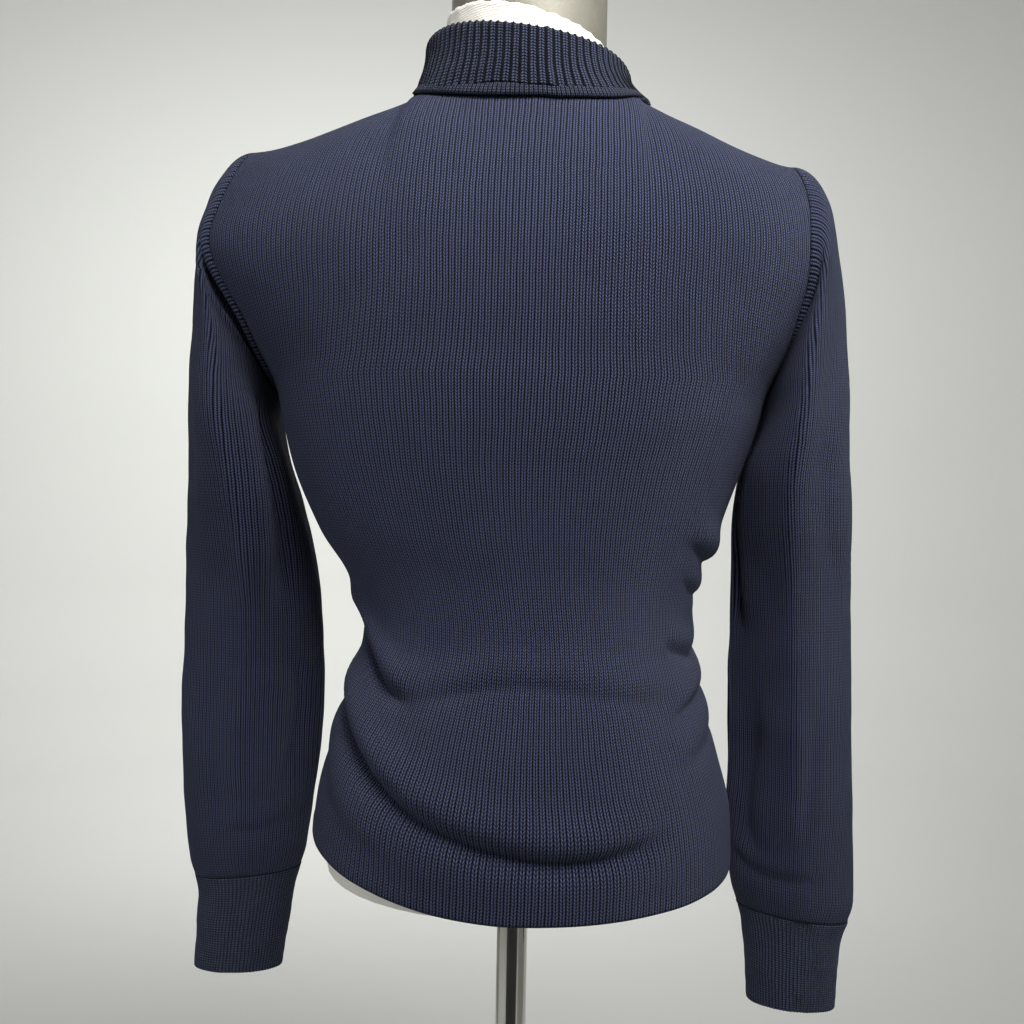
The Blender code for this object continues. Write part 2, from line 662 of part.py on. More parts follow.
def make_stand():
    """The metal neck cap, the pole and the round base."""
    cap_low = FORM_NECK_TOP + STAND_GAP
    cap_high = cap_low + CAP_HEIGHT
    turned(
        "neck_cap",
        [
            (0, cap_high),
            (CAP_RADIUS - CAP_EDGE, cap_high),
            (CAP_RADIUS - 0.3 * CAP_EDGE, cap_high - 0.3 * CAP_EDGE),
            (CAP_RADIUS, cap_high - CAP_EDGE),
            (CAP_RADIUS, cap_low),
            (0, cap_low),
        ],
        "cap_metal",
    )
    boss_top = BASE_THICKNESS + BOSS_HEIGHT
    pole_top = FORM_BOTTOM - STAND_GAP
    pole_low = boss_top + STAND_GAP
    turned("pole", [(0, pole_top), (POLE_RADIUS, pole_top), (POLE_RADIUS, pole_low), (0, pole_low)], "pole_steel")
    turned(
        "base",
        [
            (0, boss_top),
            (BOSS_RADIUS - 0.003, boss_top),
            (BOSS_RADIUS, boss_top - 0.003),
            (BOSS_RADIUS, BASE_THICKNESS + 0.004),
            (BOSS_RADIUS + 0.006, BASE_THICKNESS),
            (BASE_RADIUS - 0.006, BASE_THICKNESS - 0.001),
            (BASE_RADIUS, BASE_THICKNESS - 0.006),
            (BASE_RADIUS, 0),
            (0, 0),
        ],
        "base_paint",
    )


def make_materials():
    for name, (color, roughness, metallic) in MATERIALS.items():
        material = bpy.data.materials.new(name)
        material.use_nodes = True
        shader = material.node_tree.nodes["Principled BSDF"]
        shader.inputs["Base Color"].default_value = color
        shader.inputs["Roughness"].default_value = roughness
        shader.inputs["Metallic"].default_value = metallic
        material.diffuse_color = color


def main():
    for old in list(bpy.data.objects):
        bpy.data.objects.remove(old)
    collection = bpy.data.collections.new(COLLECTION_NAME)
    bpy.context.scene.collection.children.link(collection)
    make_materials()
    back_mesh = make_panel(BACK)
    front_mesh = make_panel(FRONT)
    for side in (LEFT, RIGHT):
        make_sleeve(side, back_mesh, front_mesh)
        make_cuff(side)
    for panel, bm in ((BACK, back_mesh), (FRONT, front_mesh)):
        add_object(panel.column + "_panel", bm, "knit", CLOTH)
    make_collar()
    make_form()
    make_stand()


main()
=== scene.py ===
"""A fitted turtleneck sweater on a limbless dress form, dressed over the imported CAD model.

Metres, +Z up, the garment's back faces -Y. Cloth pieces are fine grids on the shape of their solids:
a function places each point by its column and row, folds push it in or out, and a Solidify modifier
gives the cloth its thickness. Each cloth piece carries a UV map that counts stitches: one unit across
is one wale, one unit up is one course, and the knit materials read it.
"""

import math
from bisect import bisect_right
from collections import namedtuple
from itertools import accumulate

import bmesh
import bpy
import numpy as np
from bpy.props import FloatProperty, FloatVectorProperty, IntProperty, PointerProperty
from mathutils import Matrix, Vector, noise


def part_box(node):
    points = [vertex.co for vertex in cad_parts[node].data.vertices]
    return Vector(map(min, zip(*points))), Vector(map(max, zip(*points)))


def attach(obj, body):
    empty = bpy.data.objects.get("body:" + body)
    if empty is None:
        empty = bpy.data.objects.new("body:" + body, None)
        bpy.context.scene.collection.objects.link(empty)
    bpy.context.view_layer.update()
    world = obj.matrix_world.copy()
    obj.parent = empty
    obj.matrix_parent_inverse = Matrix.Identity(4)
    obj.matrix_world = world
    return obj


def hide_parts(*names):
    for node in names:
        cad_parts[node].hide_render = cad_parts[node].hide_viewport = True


bl_info = {
    "name": "Turtleneck Sweater on a Dress Form",
    "version": (1, 0, 0),
    "blender": (4, 5, 0),
    "location": "3D View > Sidebar > Sweater",
    "description": "Knitted turtleneck sweater worn by a dress form on a pole",
    "category": "Object",
}

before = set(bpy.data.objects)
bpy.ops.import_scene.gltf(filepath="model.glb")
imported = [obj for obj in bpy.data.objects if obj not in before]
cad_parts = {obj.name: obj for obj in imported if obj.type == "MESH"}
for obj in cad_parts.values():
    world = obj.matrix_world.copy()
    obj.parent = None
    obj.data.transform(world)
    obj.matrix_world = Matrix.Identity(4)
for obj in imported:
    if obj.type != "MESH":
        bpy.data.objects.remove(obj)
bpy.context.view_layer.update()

# The garment's shape, in metres.
SEAM_GAP = 0.0005
CUFF_GAP = 0.0008
HEM_HEIGHT = 0.679
UNDERARM_HEIGHT = 1.005
BLADE_HEIGHT = 1.085
SHOULDER_HEIGHT = 1.172
SHOULDER_HALF_WIDTH = 0.1935
NECK_HEIGHT = 1.212
NECK_HALF_WIDTH = 0.078
BACK_NECK_DEPTH = 0.063
BACK_NECK_DROP = 0.022
FRONT_NECK_DEPTH = 0.068
FRONT_NECK_DROP = 0.062
COLLAR_TOP = 1.238
COLLAR_TOP_TILT = 0.010
COLLAR_TOP_HALF_WIDTH = 0.0640
COLLAR_TOP_HALF_DEPTH = 0.0600
COLLAR_FALL_GAP = 0.0045
COLLAR_FRONT_DROP = 0.006
COLLAR_FOOT_LIFT = 0.0025
CUFF_TOP = 0.648
CUFF_BOTTOM = 0.572
CUFF_SLANT = 0.010
SLANT_START = 0.760
CUFF_FOOT_SLANT = 0.3
SLOPE_START = 0.66
SLOPE_LENGTH = 0.10
SLEEVE_SEAM_GAP = 0.0012
SQUARENESS = 2.25
NECK_DROP_POWER = 0.75
NECK_DEPTH_POWER = 0.5
CAP_OUT_LEAST = 0.011
CAP_OUT_SHARE = 0.09
CAP_DOWN_LEAST = 0.006
CAP_DOWN_SHARE = 0.45


def table(fields, *rows):
    """Rows of values under the names of their fields."""
    row_type = namedtuple("Row", fields)
    return tuple(row_type(*row) for row in rows)


TORSO = table(
    "height middle half_width back front edge_turn",
    (0.660, 0.0045, 0.144, 0.132, 0.106, 90),
    (0.720, 0.0060, 0.142, 0.131, 0.105, 90),
    (0.765, 0.0055, 0.131, 0.118, 0.101, 90),
    (0.800, 0.0065, 0.121, 0.101, 0.097, 90),
    (0.835, 0.0070, 0.113, 0.088, 0.095, 90),
    (0.870, 0.0030, 0.1195, 0.083, 0.099, 90),
    (0.905, -0.0015, 0.1375, 0.087, 0.108, 90),
    (0.945, -0.0035, 0.154, 0.094, 0.120, 90),
    (0.980, -0.0025, 0.165, 0.100, 0.125, 90),
    (UNDERARM_HEIGHT, -0.0020, 0.171, 0.103, 0.123, 90),
    (1.020, -0.0010, 0.179, 0.104, 0.119, 81),
    (1.045, 0.0000, 0.196, 0.106, 0.111, 70),
    (1.075, 0.0000, 0.219, 0.105, 0.100, 63),
    (1.100, 0.0000, 0.229, 0.103, 0.094, 60),
    (1.130, 0.0000, 0.229, 0.101, 0.091, 60),
    (SHOULDER_HEIGHT, 0.0000, 0.220, 0.100, 0.088, 60),
)
SLEEVE = table(
    "height left_inner left_outer right_inner right_outer back front crease_at crease",
    (CUFF_TOP, 0.167, 0.244, 0.164, 0.239, 0.011, 0.049, 0.50, 0.000),
    (0.662, 0.163, 0.249, 0.160, 0.243, 0.008, 0.052, 0.50, 0.000),
    (0.700, 0.157, 0.253, 0.156, 0.242, 0.004, 0.056, 0.50, 0.000),
    (0.755, 0.153, 0.256, 0.155, 0.240, 0.002, 0.059, 0.50, 0.000),
    (0.820, 0.153, 0.256, 0.155, 0.238, -0.002, 0.061, 0.45, 0.001),
    (0.880, 0.159, 0.254, 0.155, 0.236, -0.012, 0.064, 0.40, 0.003),
    (0.940, 0.174, 0.247, 0.157, 0.231, -0.036, 0.068, 0.33, 0.005),
    (0.985, 0.186, 0.245, 0.170, 0.227, -0.050, 0.070, 0.30, 0.006),
)
CUFF = table(
    "height left_inner left_outer right_inner right_outer back front",
    (CUFF_BOTTOM, 0.180, 0.244, 0.172, 0.231, 0.015, 0.046),
    (0.605, 0.176, 0.242, 0.171, 0.232, 0.014, 0.047),
    (0.634, 0.171, 0.241, 0.168, 0.235, 0.013, 0.047),
    (CUFF_TOP, 0.167, 0.244, 0.164, 0.239, 0.011, 0.049),
)
Side = namedtuple(
    "Side",
    "name sign forward shoulder_rise neck_rise hem_rise shoulder_curve narrowing cuff_drop bulge"
    " inner_slope pocket",
)
LEFT = Side("left", -1, 0.002, 0.003, 0.000, 0.023, 1.70, 0.00, 0.004, 0.0070, 0.008, 0.013)
RIGHT = Side("right", 1, -0.002, -0.011, -0.004, 0.006, 1.60, 0.07, 0.014, 0.0000, 0.014, 0.004)
Panel = namedtuple("Panel", "column sign neck_depth neck_drop")
BACK = Panel("back", -1, BACK_NECK_DEPTH, BACK_NECK_DROP)
FRONT = Panel("front", 1, FRONT_NECK_DEPTH, FRONT_NECK_DROP)

# A fold is a trough along a line with a ridge over it. A line's points on the body are the degrees
# round it, 0 at the middle of the back and 90 at the right side, and the height. On a sleeve they are
# degrees from its inner edge, over its back, and the height.
FOLD = "line depth width ridge"
BODY_FOLDS = table(
    FOLD,
    (((-100, 0.852), (-74, 0.846), (-62, 0.826), (-42, 0.804), (-24, 0.796)), 0.0064, 0.0080, 0.0048),
    (((-34, 0.797), (-14, 0.806), (2, 0.811), (20, 0.807), (42, 0.802), (66, 0.808)), 0.0016, 0.008, 0.0022),
    (
        (
            (-112, 0.806), (-82, 0.796), (-56, 0.773), (-36, 0.751), (-17, 0.731), (8, 0.715),
            (30, 0.721), (44, 0.732),
        ),
        0.0075, 0.009, 0.0060,
    ),
    (((-100, 0.770), (-74, 0.752), (-48, 0.722), (-24, 0.704)), 0.0012, 0.010, 0.0012),
    (((98, 0.842), (80, 0.826), (62, 0.829), (50, 0.838)), 0.0028, 0.007, 0.0026),
    (((104, 0.874), (88, 0.866), (70, 0.870), (58, 0.880)), 0.0018, 0.006, 0.0020),
    (((102, 0.812), (86, 0.803), (66, 0.797), (44, 0.786)), 0.0026, 0.007, 0.0026),
    (((104, 0.782), (86, 0.776), (64, 0.768), (40, 0.758)), 0.0014, 0.008, 0.0016),
    (((50, 0.905), (70, 0.893), (90, 0.887), (112, 0.890), (136, 0.902)), 0.0022, 0.0080, 0.0048),
    (((-250, 0.814), (-205, 0.766), (-180, 0.770), (-150, 0.788)), 0.0034, 0.010, 0.0034),
    (((-216, 0.842), (-190, 0.812), (-160, 0.808), (-112, 0.838)), 0.0030, 0.009, 0.0030),
    (((-246, 0.764), (-190, 0.714), (-160, 0.716), (-118, 0.742)), 0.0044, 0.011, 0.0040),
)
SLEEVE_FOLDS = {
    "left": table(
        FOLD,
        (((36, 1.010), (42, 0.975), (50, 0.930), (58, 0.885), (64, 0.840)), 0.0075, 0.010, 0.0060),
        (((52, 0.812), (46, 0.780), (50, 0.740), (66, 0.690)), 0.0028, 0.010, 0.0022),
        (((150, 1.060), (140, 0.990), (146, 0.920), (138, 0.850)), 0.0016, 0.013, 0.0018),
        (((118, 0.800), (112, 0.740), (104, 0.690)), 0.0012, 0.011, 0.0012),
        (((16, 0.700), (60, 0.684), (110, 0.680)), 0.0014, 0.007, 0.0016),
        (((210, 1.000), (230, 0.930), (250, 0.860), (262, 0.800)), 0.0026, 0.011, 0.0022),
        (((320, 0.960), (300, 0.900), (290, 0.820)), 0.0028, 0.010, 0.0022),
    ),
    "right": table(
        FOLD,
        (((34, 0.990), (26, 0.935), (30, 0.880), (40, 0.830)), 0.0054, 0.009, 0.0035),
        (((60, 0.800), (50, 0.745), (44, 0.700), (60, 0.672)), 0.0026, 0.009, 0.0022),
        (((126, 1.040), (120, 0.980), (124, 0.920), (132, 0.860)), 0.0018, 0.013, 0.0020),
        (((110, 0.790), (100, 0.730), (96, 0.690)), 0.0012, 0.011, 0.0012),
        (((14, 0.684), (60, 0.666), (120, 0.664)), 0.0016, 0.006, 0.0016),
        (((212, 0.990), (232, 0.920), (248, 0.850), (256, 0.790)), 0.0026, 0.011, 0.0022),
        (((322, 0.950), (302, 0.890), (292, 0.810)), 0.0028, 0.010, 0.0022),
    ),
}
BODY_METRES_PER_DEGREE = 0.0022
SLEEVE_METRES_PER_DEGREE = 0.0007
LINE_STEPS = 10
# Places and widths across a fold, in shares of the fold's width.
TROUGH_WIDTH = 0.7
RIDGE_AT, RIDGE_WIDTH = 1.4, 1.3
LOW_RIDGE_AT, LOW_RIDGE_WIDTH, LOW_RIDGE = 2.1, 1.4, 0.3


def mix(first, second, share):
    return first + (second - first) * share


def smooth(share):
    share = np.clip(share, 0.0, 1.0)
    return share * share * (3 - 2 * share)


def bell(distance, width):
    return np.exp(-((distance / width) ** 2))


TABLE_COLUMNS = {}


def table_column(rows, column):
    """Heights, values and slopes of one column of a table, worked out once."""
    key = (id(rows), column)
    if key not in TABLE_COLUMNS:
        heights = [row.height for row in rows]
        values = [getattr(row, column) for row in rows]
        last = len(rows) - 1
        slopes = []
        for k in range(len(rows)):
            low, high = max(k - 1, 0), min(k + 1, last)
            slopes.append((values[high] - values[low]) / (heights[high] - heights[low]))
        TABLE_COLUMNS[key] = heights, values, slopes
    return TABLE_COLUMNS[key]


def table_value(rows, column, height):
    """The smooth curve through one column of a table whose rows are sorted by height."""
    heights, values, slopes = table_column(rows, column)
    if height <= heights[0]:
        return values[0]
    if height >= heights[-1]:
        return values[-1]
    i = bisect_right(heights, height) - 1
    step = heights[i + 1] - heights[i]
    t = (height - heights[i]) / step
    rest = 1 - t
    return (
        values[i] * rest * rest * (1 + 2 * t)
        + values[i + 1] * t * t * (3 - 2 * t)
        + slopes[i] * step * t * rest * rest
        - slopes[i + 1] * step * t * t * rest
    )


def side_of(x):
    """The side that a distance or a turn from the middle of the back lies on."""
    return LEFT if x < 0 else RIGHT


def neckline_curve(x, total, power):
    """The neckline's depth or drop, full at the middle and none at the neck points."""
    return total * max(0.0, 1 - (x / NECK_HALF_WIDTH) ** 2) ** power


def shoulder_point_height(x):
    return SHOULDER_HEIGHT + side_of(x).shoulder_rise


def top_height(x, neck_drop):
    """The top edge of a panel: neckline between the neck points, shoulder seam outside them."""
    neck_height = NECK_HEIGHT + side_of(x).neck_rise * min(1.0, (x / NECK_HALF_WIDTH) ** 2)
    if abs(x) <= NECK_HALF_WIDTH:
        return neck_height - neckline_curve(x, neck_drop, NECK_DROP_POWER)
    share = (abs(x) - NECK_HALF_WIDTH) / (SHOULDER_HALF_WIDTH - NECK_HALF_WIDTH)
    left = max(0.0, 1 - share) ** side_of(x).shoulder_curve
    return mix(shoulder_point_height(x), neck_height, left)


def section_shares(turn, edge_turn):
    """Shares of the half width and of the depth that a section reaches at this turn."""
    turn = turn * edge_turn / 90
    across = math.copysign(abs(math.sin(turn)) ** (2 / SQUARENESS), turn)
    return across, max(0.0, math.cos(turn)) ** (2 / SQUARENESS)


TOP = TORSO[-1]
NECK_TURN = math.asin((NECK_HALF_WIDTH / TOP.half_width) ** (SQUARENESS / 2)) * 90 / TOP.edge_turn
RIGHT_ANGLE = math.radians(90)
HEM_CURVE = 1.6
LIFT_EASING = 0.55
NECK_REACH = 1.7
SHOULDER_CLOSING, NECK_CLOSING = 0.5, 0.9
BULGE_START = math.radians(52)
BULGE_HEIGHT, BULGE_WIDTH = 1.099, 0.024


def low_point(panel, turn, share):
    """A point of a panel below the underarm: share runs from the hem to it."""
    seam = Vector((0, panel.sign * SEAM_GAP / 2, 0))
    across, bulge = section_shares(turn, 90)
    hem = HEM_HEIGHT + side_of(turn).hem_rise * abs(across) ** HEM_CURVE
    height = mix(hem, UNDERARM_HEIGHT, share)
    half_width = table_value(TORSO, "half_width", height)
    depth = table_value(TORSO, panel.column, height) * bulge
    middle = table_value(TORSO, "middle", height)
    return Vector((middle + half_width * across, panel.sign * depth, height)) + seam


def yoke_point(panel, turn, lift):
    """A point of a panel above the underarm: lift runs from it to the top edge."""
    side = side_of(turn)
    seam = Vector((0, panel.sign * SEAM_GAP / 2, 0))
    lift = mix(lift, math.sin(RIGHT_ANGLE * lift), LIFT_EASING)
    edge_height = mix(UNDERARM_HEIGHT, shoulder_point_height(turn), lift)
    across, depth_share = section_shares(turn, table_value(TORSO, "edge_turn", edge_height))
    top_x = TOP.half_width * section_shares(turn, TOP.edge_turn)[0]
    top = top_height(top_x, panel.neck_drop)
    height = mix(UNDERARM_HEIGHT, top, lift)
    depth = table_value(TORSO, panel.column, height) * depth_share
    closing = max(0.0, (height - BLADE_HEIGHT) / (top - BLADE_HEIGHT))
    neck_share = smooth(1 - abs(top_x) / (NECK_REACH * NECK_HALF_WIDTH))
    kept = max(0.0, 1 - closing**2) ** mix(SHOULDER_CLOSING, NECK_CLOSING, neck_share)
    depth = mix(neckline_curve(top_x, panel.neck_depth, NECK_DEPTH_POWER), depth, kept)
    past_neck = max(0.0, (abs(turn) - NECK_TURN) / (RIGHT_ANGLE - NECK_TURN))
    narrowing = side.narrowing * smooth(past_neck) * smooth(1.5 * lift)
    half_width = table_value(TORSO, "half_width", edge_height) * (1 - narrowing)
    middle = table_value(TORSO, "middle", edge_height)
    near_edge = smooth((abs(turn) - BULGE_START) / (RIGHT_ANGLE - BULGE_START))
    bulge = side.bulge * near_edge * bell(height - BULGE_HEIGHT, BULGE_WIDTH) * (panel is BACK)
    return Vector((middle + half_width * across + side.sign * bulge, panel.sign * depth, height)) + seam


def armhole_point(side, share):
    """The armhole's edge: underarm, up the back edge, over the shoulder, down the front."""
    panel = BACK if share <= 0.5 else FRONT
    lift = 2 * share if share <= 0.5 else 2 * (1 - share)
    point = yoke_point(panel, side.sign * RIGHT_ANGLE, lift)
    if share in (0.0, 0.5):
        point.y = 0.0
    return point


def sleeve_section(side, rows, share, height):
    """A point of the hanging sleeve: the share runs inner, back, outer, front."""
    turn = 2 * math.pi * share
    inner = table_value(rows, side.name + "_inner", height)
    outer = table_value(rows, side.name + "_outer", height)
    back = table_value(rows, "back", height) + side.forward
    front = table_value(rows, "front", height) + side.forward
    x = (inner + outer) / 2 - (outer - inner) / 2 * math.cos(turn)
    y = (back + front) / 2 - (front - back) / 2 * math.sin(turn)
    if rows is SLEEVE:
        toward_back = max(0.0, math.sin(turn))
        x += (outer - inner) * (table_value(rows, "crease_at", height) - 0.5) * toward_back**1.5
        y -= table_value(rows, "crease", height) * toward_back**8
        inward = max(0.0, math.cos(turn)) * toward_back * 2
        sloping = smooth((height - SLOPE_START) / SLOPE_LENGTH) * inward
        y += side.inner_slope * sloping
    drop = side.cuff_drop - CUFF_SLANT / 2 * math.cos(turn)
    near_seam = smooth((SLANT_START - height) / (SLANT_START - CUFF_TOP))
    if rows is CUFF:
        near_seam = mix(CUFF_FOOT_SLANT, 1.0, (height - CUFF_BOTTOM) / (CUFF_TOP - CUFF_BOTTOM))
    return Vector((side.sign * x, y, height - drop * near_seam))


def sleeve_middle(side, rows, height):
    """The middle between a sleeve's inner and outer edge."""
    return sleeve_section(side, rows, 0, height).lerp(sleeve_section(side, rows, 0.5, height), 0.5)


def sleeve_point(side, share, down):
    """A point of the whole sleeve: down runs from the armhole over 1 at its foot to 2 at the cuff."""
    cap_bottom = SLEEVE[-1].height
    if down > 1:
        height = mix(cap_bottom, CUFF_TOP + CUFF_GAP, down - 1)
        return sleeve_section(side, SLEEVE, share, height)
    start = armhole_point(side, share) + Vector((side.sign * (SEAM_GAP + SLEEVE_SEAM_GAP), 0, 0))
    end = sleeve_section(side, SLEEVE, share, cap_bottom)
    drop = start.z - end.z
    over = (CAP_OUT_LEAST + CAP_OUT_SHARE * drop) * Vector((side.sign, 0, 0))
    under = Vector((0, 0, CAP_DOWN_LEAST + CAP_DOWN_SHARE * drop))
    rest = 1 - down
    return (
        start * rest**3
        + (start + over) * 3 * down * rest**2
        + (end + under) * 3 * down**2 * rest
        + end * down**3
    )


def neck_ring(turn, lift=1.0):
    """The neck seam on the panels' inner edge. The turn runs from the middle back over the right."""
    panel = BACK if math.cos(turn) >= 0 else FRONT
    x = NECK_HALF_WIDTH * math.sin(turn)
    panel_turn = math.asin(min(1.0, (abs(x) / TOP.half_width)) ** (SQUARENESS / 2)) * 90 / TOP.edge_turn
    return yoke_point(panel, math.copysign(panel_turn, x), lift)


def signed_degrees(turn):
    """A turn round the neck in degrees from -180 to 180, 0 at the middle back."""
    return math.degrees(math.atan2(math.sin(turn), math.cos(turn)))


SHOULDER_DEGREES = 112
SHOULDER_SPREAD = 38


def shoulder_share(turn):
    """How near a turn round the neck is to a shoulder, from 0 to 1."""
    return bell(abs(signed_degrees(turn)) - SHOULDER_DEGREES, SHOULDER_SPREAD)


def outward(turn):
    """The level direction away from the neck."""
    return Vector((math.sin(turn) / NECK_HALF_WIDTH, -math.cos(turn) / BACK_NECK_DEPTH, 0)).normalized()


def collar_point(turn, rise, out):
    """A point of the collar: rise runs from 0 at the neck seam to 1 at the fold."""
    seam = neck_ring(turn)
    across, along = math.sin(turn), math.cos(turn)
    height = COLLAR_TOP - COLLAR_TOP_TILT * across - COLLAR_FRONT_DROP * (1 - along)
    top = Vector((COLLAR_TOP_HALF_WIDTH * across, -COLLAR_TOP_HALF_DEPTH * along, height))
    level = seam.lerp(top, 1 - (1 - rise) ** 3)
    level.z = mix(seam.z + COLLAR_FOOT_LIFT * (1 + 2 * shoulder_share(turn)), top.z, rise)
    return level + outward(turn) * out


def smooth_line(points, steps):
    """Points of a smooth curve through a fold's points."""
    points = np.array(points, float)
    ends = np.vstack([2 * points[0] - points[1], points, 2 * points[-1] - points[-2]])
    made = []
    for k in range(len(points) - 1):
        a, b, c, d = ends[k : k + 4]
        for t in np.linspace(0, 1, steps, endpoint=False):
            curved = (2 * a - 5 * b + 4 * c - d) * t**2 + (3 * b - a - 3 * c + d) * t**3
            made.append(0.5 * (2 * b + (c - a) * t + curved))
    made.append(points[-1])
    return np.array(made)


def fold_offsets(degrees, heights, folds, metres_per_degree):
    """How far the folds push each point of a cloth out."""
    offsets = np.zeros(len(degrees))
    for fold in folds:
        line = smooth_line(fold.line, LINE_STEPS)
        over_side = 1 if line[-1][0] >= line[0][0] else -1
        nearest = np.full(len(degrees), np.inf)
        share = np.zeros(len(degrees))
        above = np.zeros(len(degrees))
        for i, (line_turn, line_z) in enumerate(line):
            before, after = line[max(i - 1, 0)], line[min(i + 1, len(line) - 1)]
            along = (after - before) * (metres_per_degree, 1)
            across = over_side * np.array([-along[1], along[0]]) / np.linalg.norm(along)
            flat_x = ((degrees - line_turn + 180) % 360 - 180) * metres_per_degree
            flat_z = heights - line_z
            gap = np.hypot(flat_x, flat_z)
            closer = gap < nearest
            nearest[closer] = gap[closer]
            share[closer] = i / (len(line) - 1)
            above[closer] = (flat_x * across[0] + flat_z * across[1])[closer]
        width = fold.width
        trough = fold.depth * bell(nearest, TROUGH_WIDTH * width)
        over = fold.ridge * bell(nearest - RIDGE_AT * width, RIDGE_WIDTH * width)
        over *= smooth(above / (0.8 * width) + 0.2)
        under = LOW_RIDGE * fold.ridge * bell(nearest - LOW_RIDGE_AT * width, LOW_RIDGE_WIDTH * width)
        fading = smooth(4 * share + 0.1) * smooth(4 * (1 - share))
        offsets += fading * (over - trough + under * (above < 0))
    return offsets


def waviness(point, amount, scale):
    """Slow unevenness of a hanging cloth."""
    finer = noise.noise(point / (0.35 * scale) + Vector((7, 3, 1)))
    return amount * noise.noise(point / scale) + 0.4 * amount * finer


def new_grid(columns, rows, points, stitches):
    """A grid with its points placed and its stitches counted, both as lists of rows of columns."""
    bm = bmesh.new()
    bmesh.ops.create_grid(bm, x_segments=columns, y_segments=rows, size=1.0)
    count = bm.loops.layers.uv.new("Stitches")
    where = {}
    for vertex in bm.verts:
        where[vertex] = round((vertex.co.y + 1) / 2 * rows), round((vertex.co.x + 1) / 2 * columns)
    for face in bm.faces:
        for loop in face.loops:
            row, column = where[loop.vert]
            loop[count].uv = stitches[row][column]
    for vertex, (row, column) in where.items():
        vertex.co = points[row][column]
    return bm, where


def turn_faces_out(bm, inside):
    """Turns the mesh round if most of its faces look towards a point inside it."""
    bm.normal_update()
    towards = sum(face.normal.dot(face.calc_center_median() - inside(face)) for face in bm.faces)
    if towards < 0:
        bmesh.ops.reverse_faces(bm, faces=bm.faces)
        bm.normal_update()


def weld(bm):
    """Joins the points that lie on each other."""
    bmesh.ops.remove_doubles(bm, verts=bm.verts, dist=1e-6)


def lathe(outline, segments):
    """A mesh turned about the Z axis from its outline, given as radius and height."""
    bm = bmesh.new()
    verts = [bm.verts.new((radius, 0, height)) for radius, height in outline]
    edges = [bm.edges.new(pair) for pair in zip(verts, verts[1:])]
    axis = {"cent": (0, 0, 0), "axis": (0, 0, 1), "angle": 2 * math.pi}
    bmesh.ops.spin(bm, geom=verts + edges, steps=segments, use_merge=True, **axis)
    weld(bm)
    bmesh.ops.recalc_face_normals(bm, faces=bm.faces)
    return bm


def add_object(name, bm, material, smooth_angle=60):
    """The mesh as an object of the scene, shaded smooth, with its material."""
    mesh = bpy.data.meshes.new(name)
    bm.to_mesh(mesh)
    bm.free()
    mesh.shade_smooth()
    mesh.set_sharp_from_angle(angle=math.radians(smooth_angle))
    mesh.materials.append(material)
    made = bpy.data.objects.new(name, mesh)
    bpy.context.scene.collection.objects.link(made)
    return made


def add_piece(name, bm, material, replaced=(), thickness=0.0, smooth_angle=60):
    """The mesh as a piece of the garment or its stand, riding on the CAD."""
    piece = add_object(name, bm, material, smooth_angle)
    if thickness:
        wall = piece.modifiers.new("Cloth", "SOLIDIFY")
        wall.thickness = thickness
        wall.offset = 1
    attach(piece, "root")
    if replaced:
        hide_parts(*replaced)
    return piece


def distances_along(points):
    """Running distance along a list of points."""
    return [0.0, *accumulate((end - start).length for start, end in zip(points, points[1:]))]


def math_node(kind, turned_round=False):
    """A method that adds a Math node of this kind to a value's shader."""

    def method(self, *others):
        values = (*others, self) if turned_round else (self, *others)
        node = self.shader.node("ShaderNodeMath", {"operation": kind}, dict(enumerate(values)))
        return Value(self.shader, node.outputs[0])

    return method


class Value:
    """A number socket: sums on it add Math nodes."""

    def __init__(self, shader, socket):
        self.shader = shader
        self.socket = socket

    __add__ = math_node("ADD")
    __radd__ = math_node("ADD", turned_round=True)
    __sub__ = math_node("SUBTRACT")
    __rsub__ = math_node("SUBTRACT", turned_round=True)
    __mul__ = math_node("MULTIPLY")
    __truediv__ = math_node("DIVIDE")
    __pow__ = math_node("POWER")
    __abs__ = math_node("ABSOLUTE")
    fraction = math_node("FRACT")
    at_least = math_node("MAXIMUM")
    at_most = math_node("MINIMUM")

    def held(self):
        """The value kept between 0 and 1."""
        return self.at_least(0.0).at_most(1.0)

    def wave(self):
        """0 to 1 and back over each unit, highest at the half."""
        return 1 - abs(self.fraction() * 2 - 1)


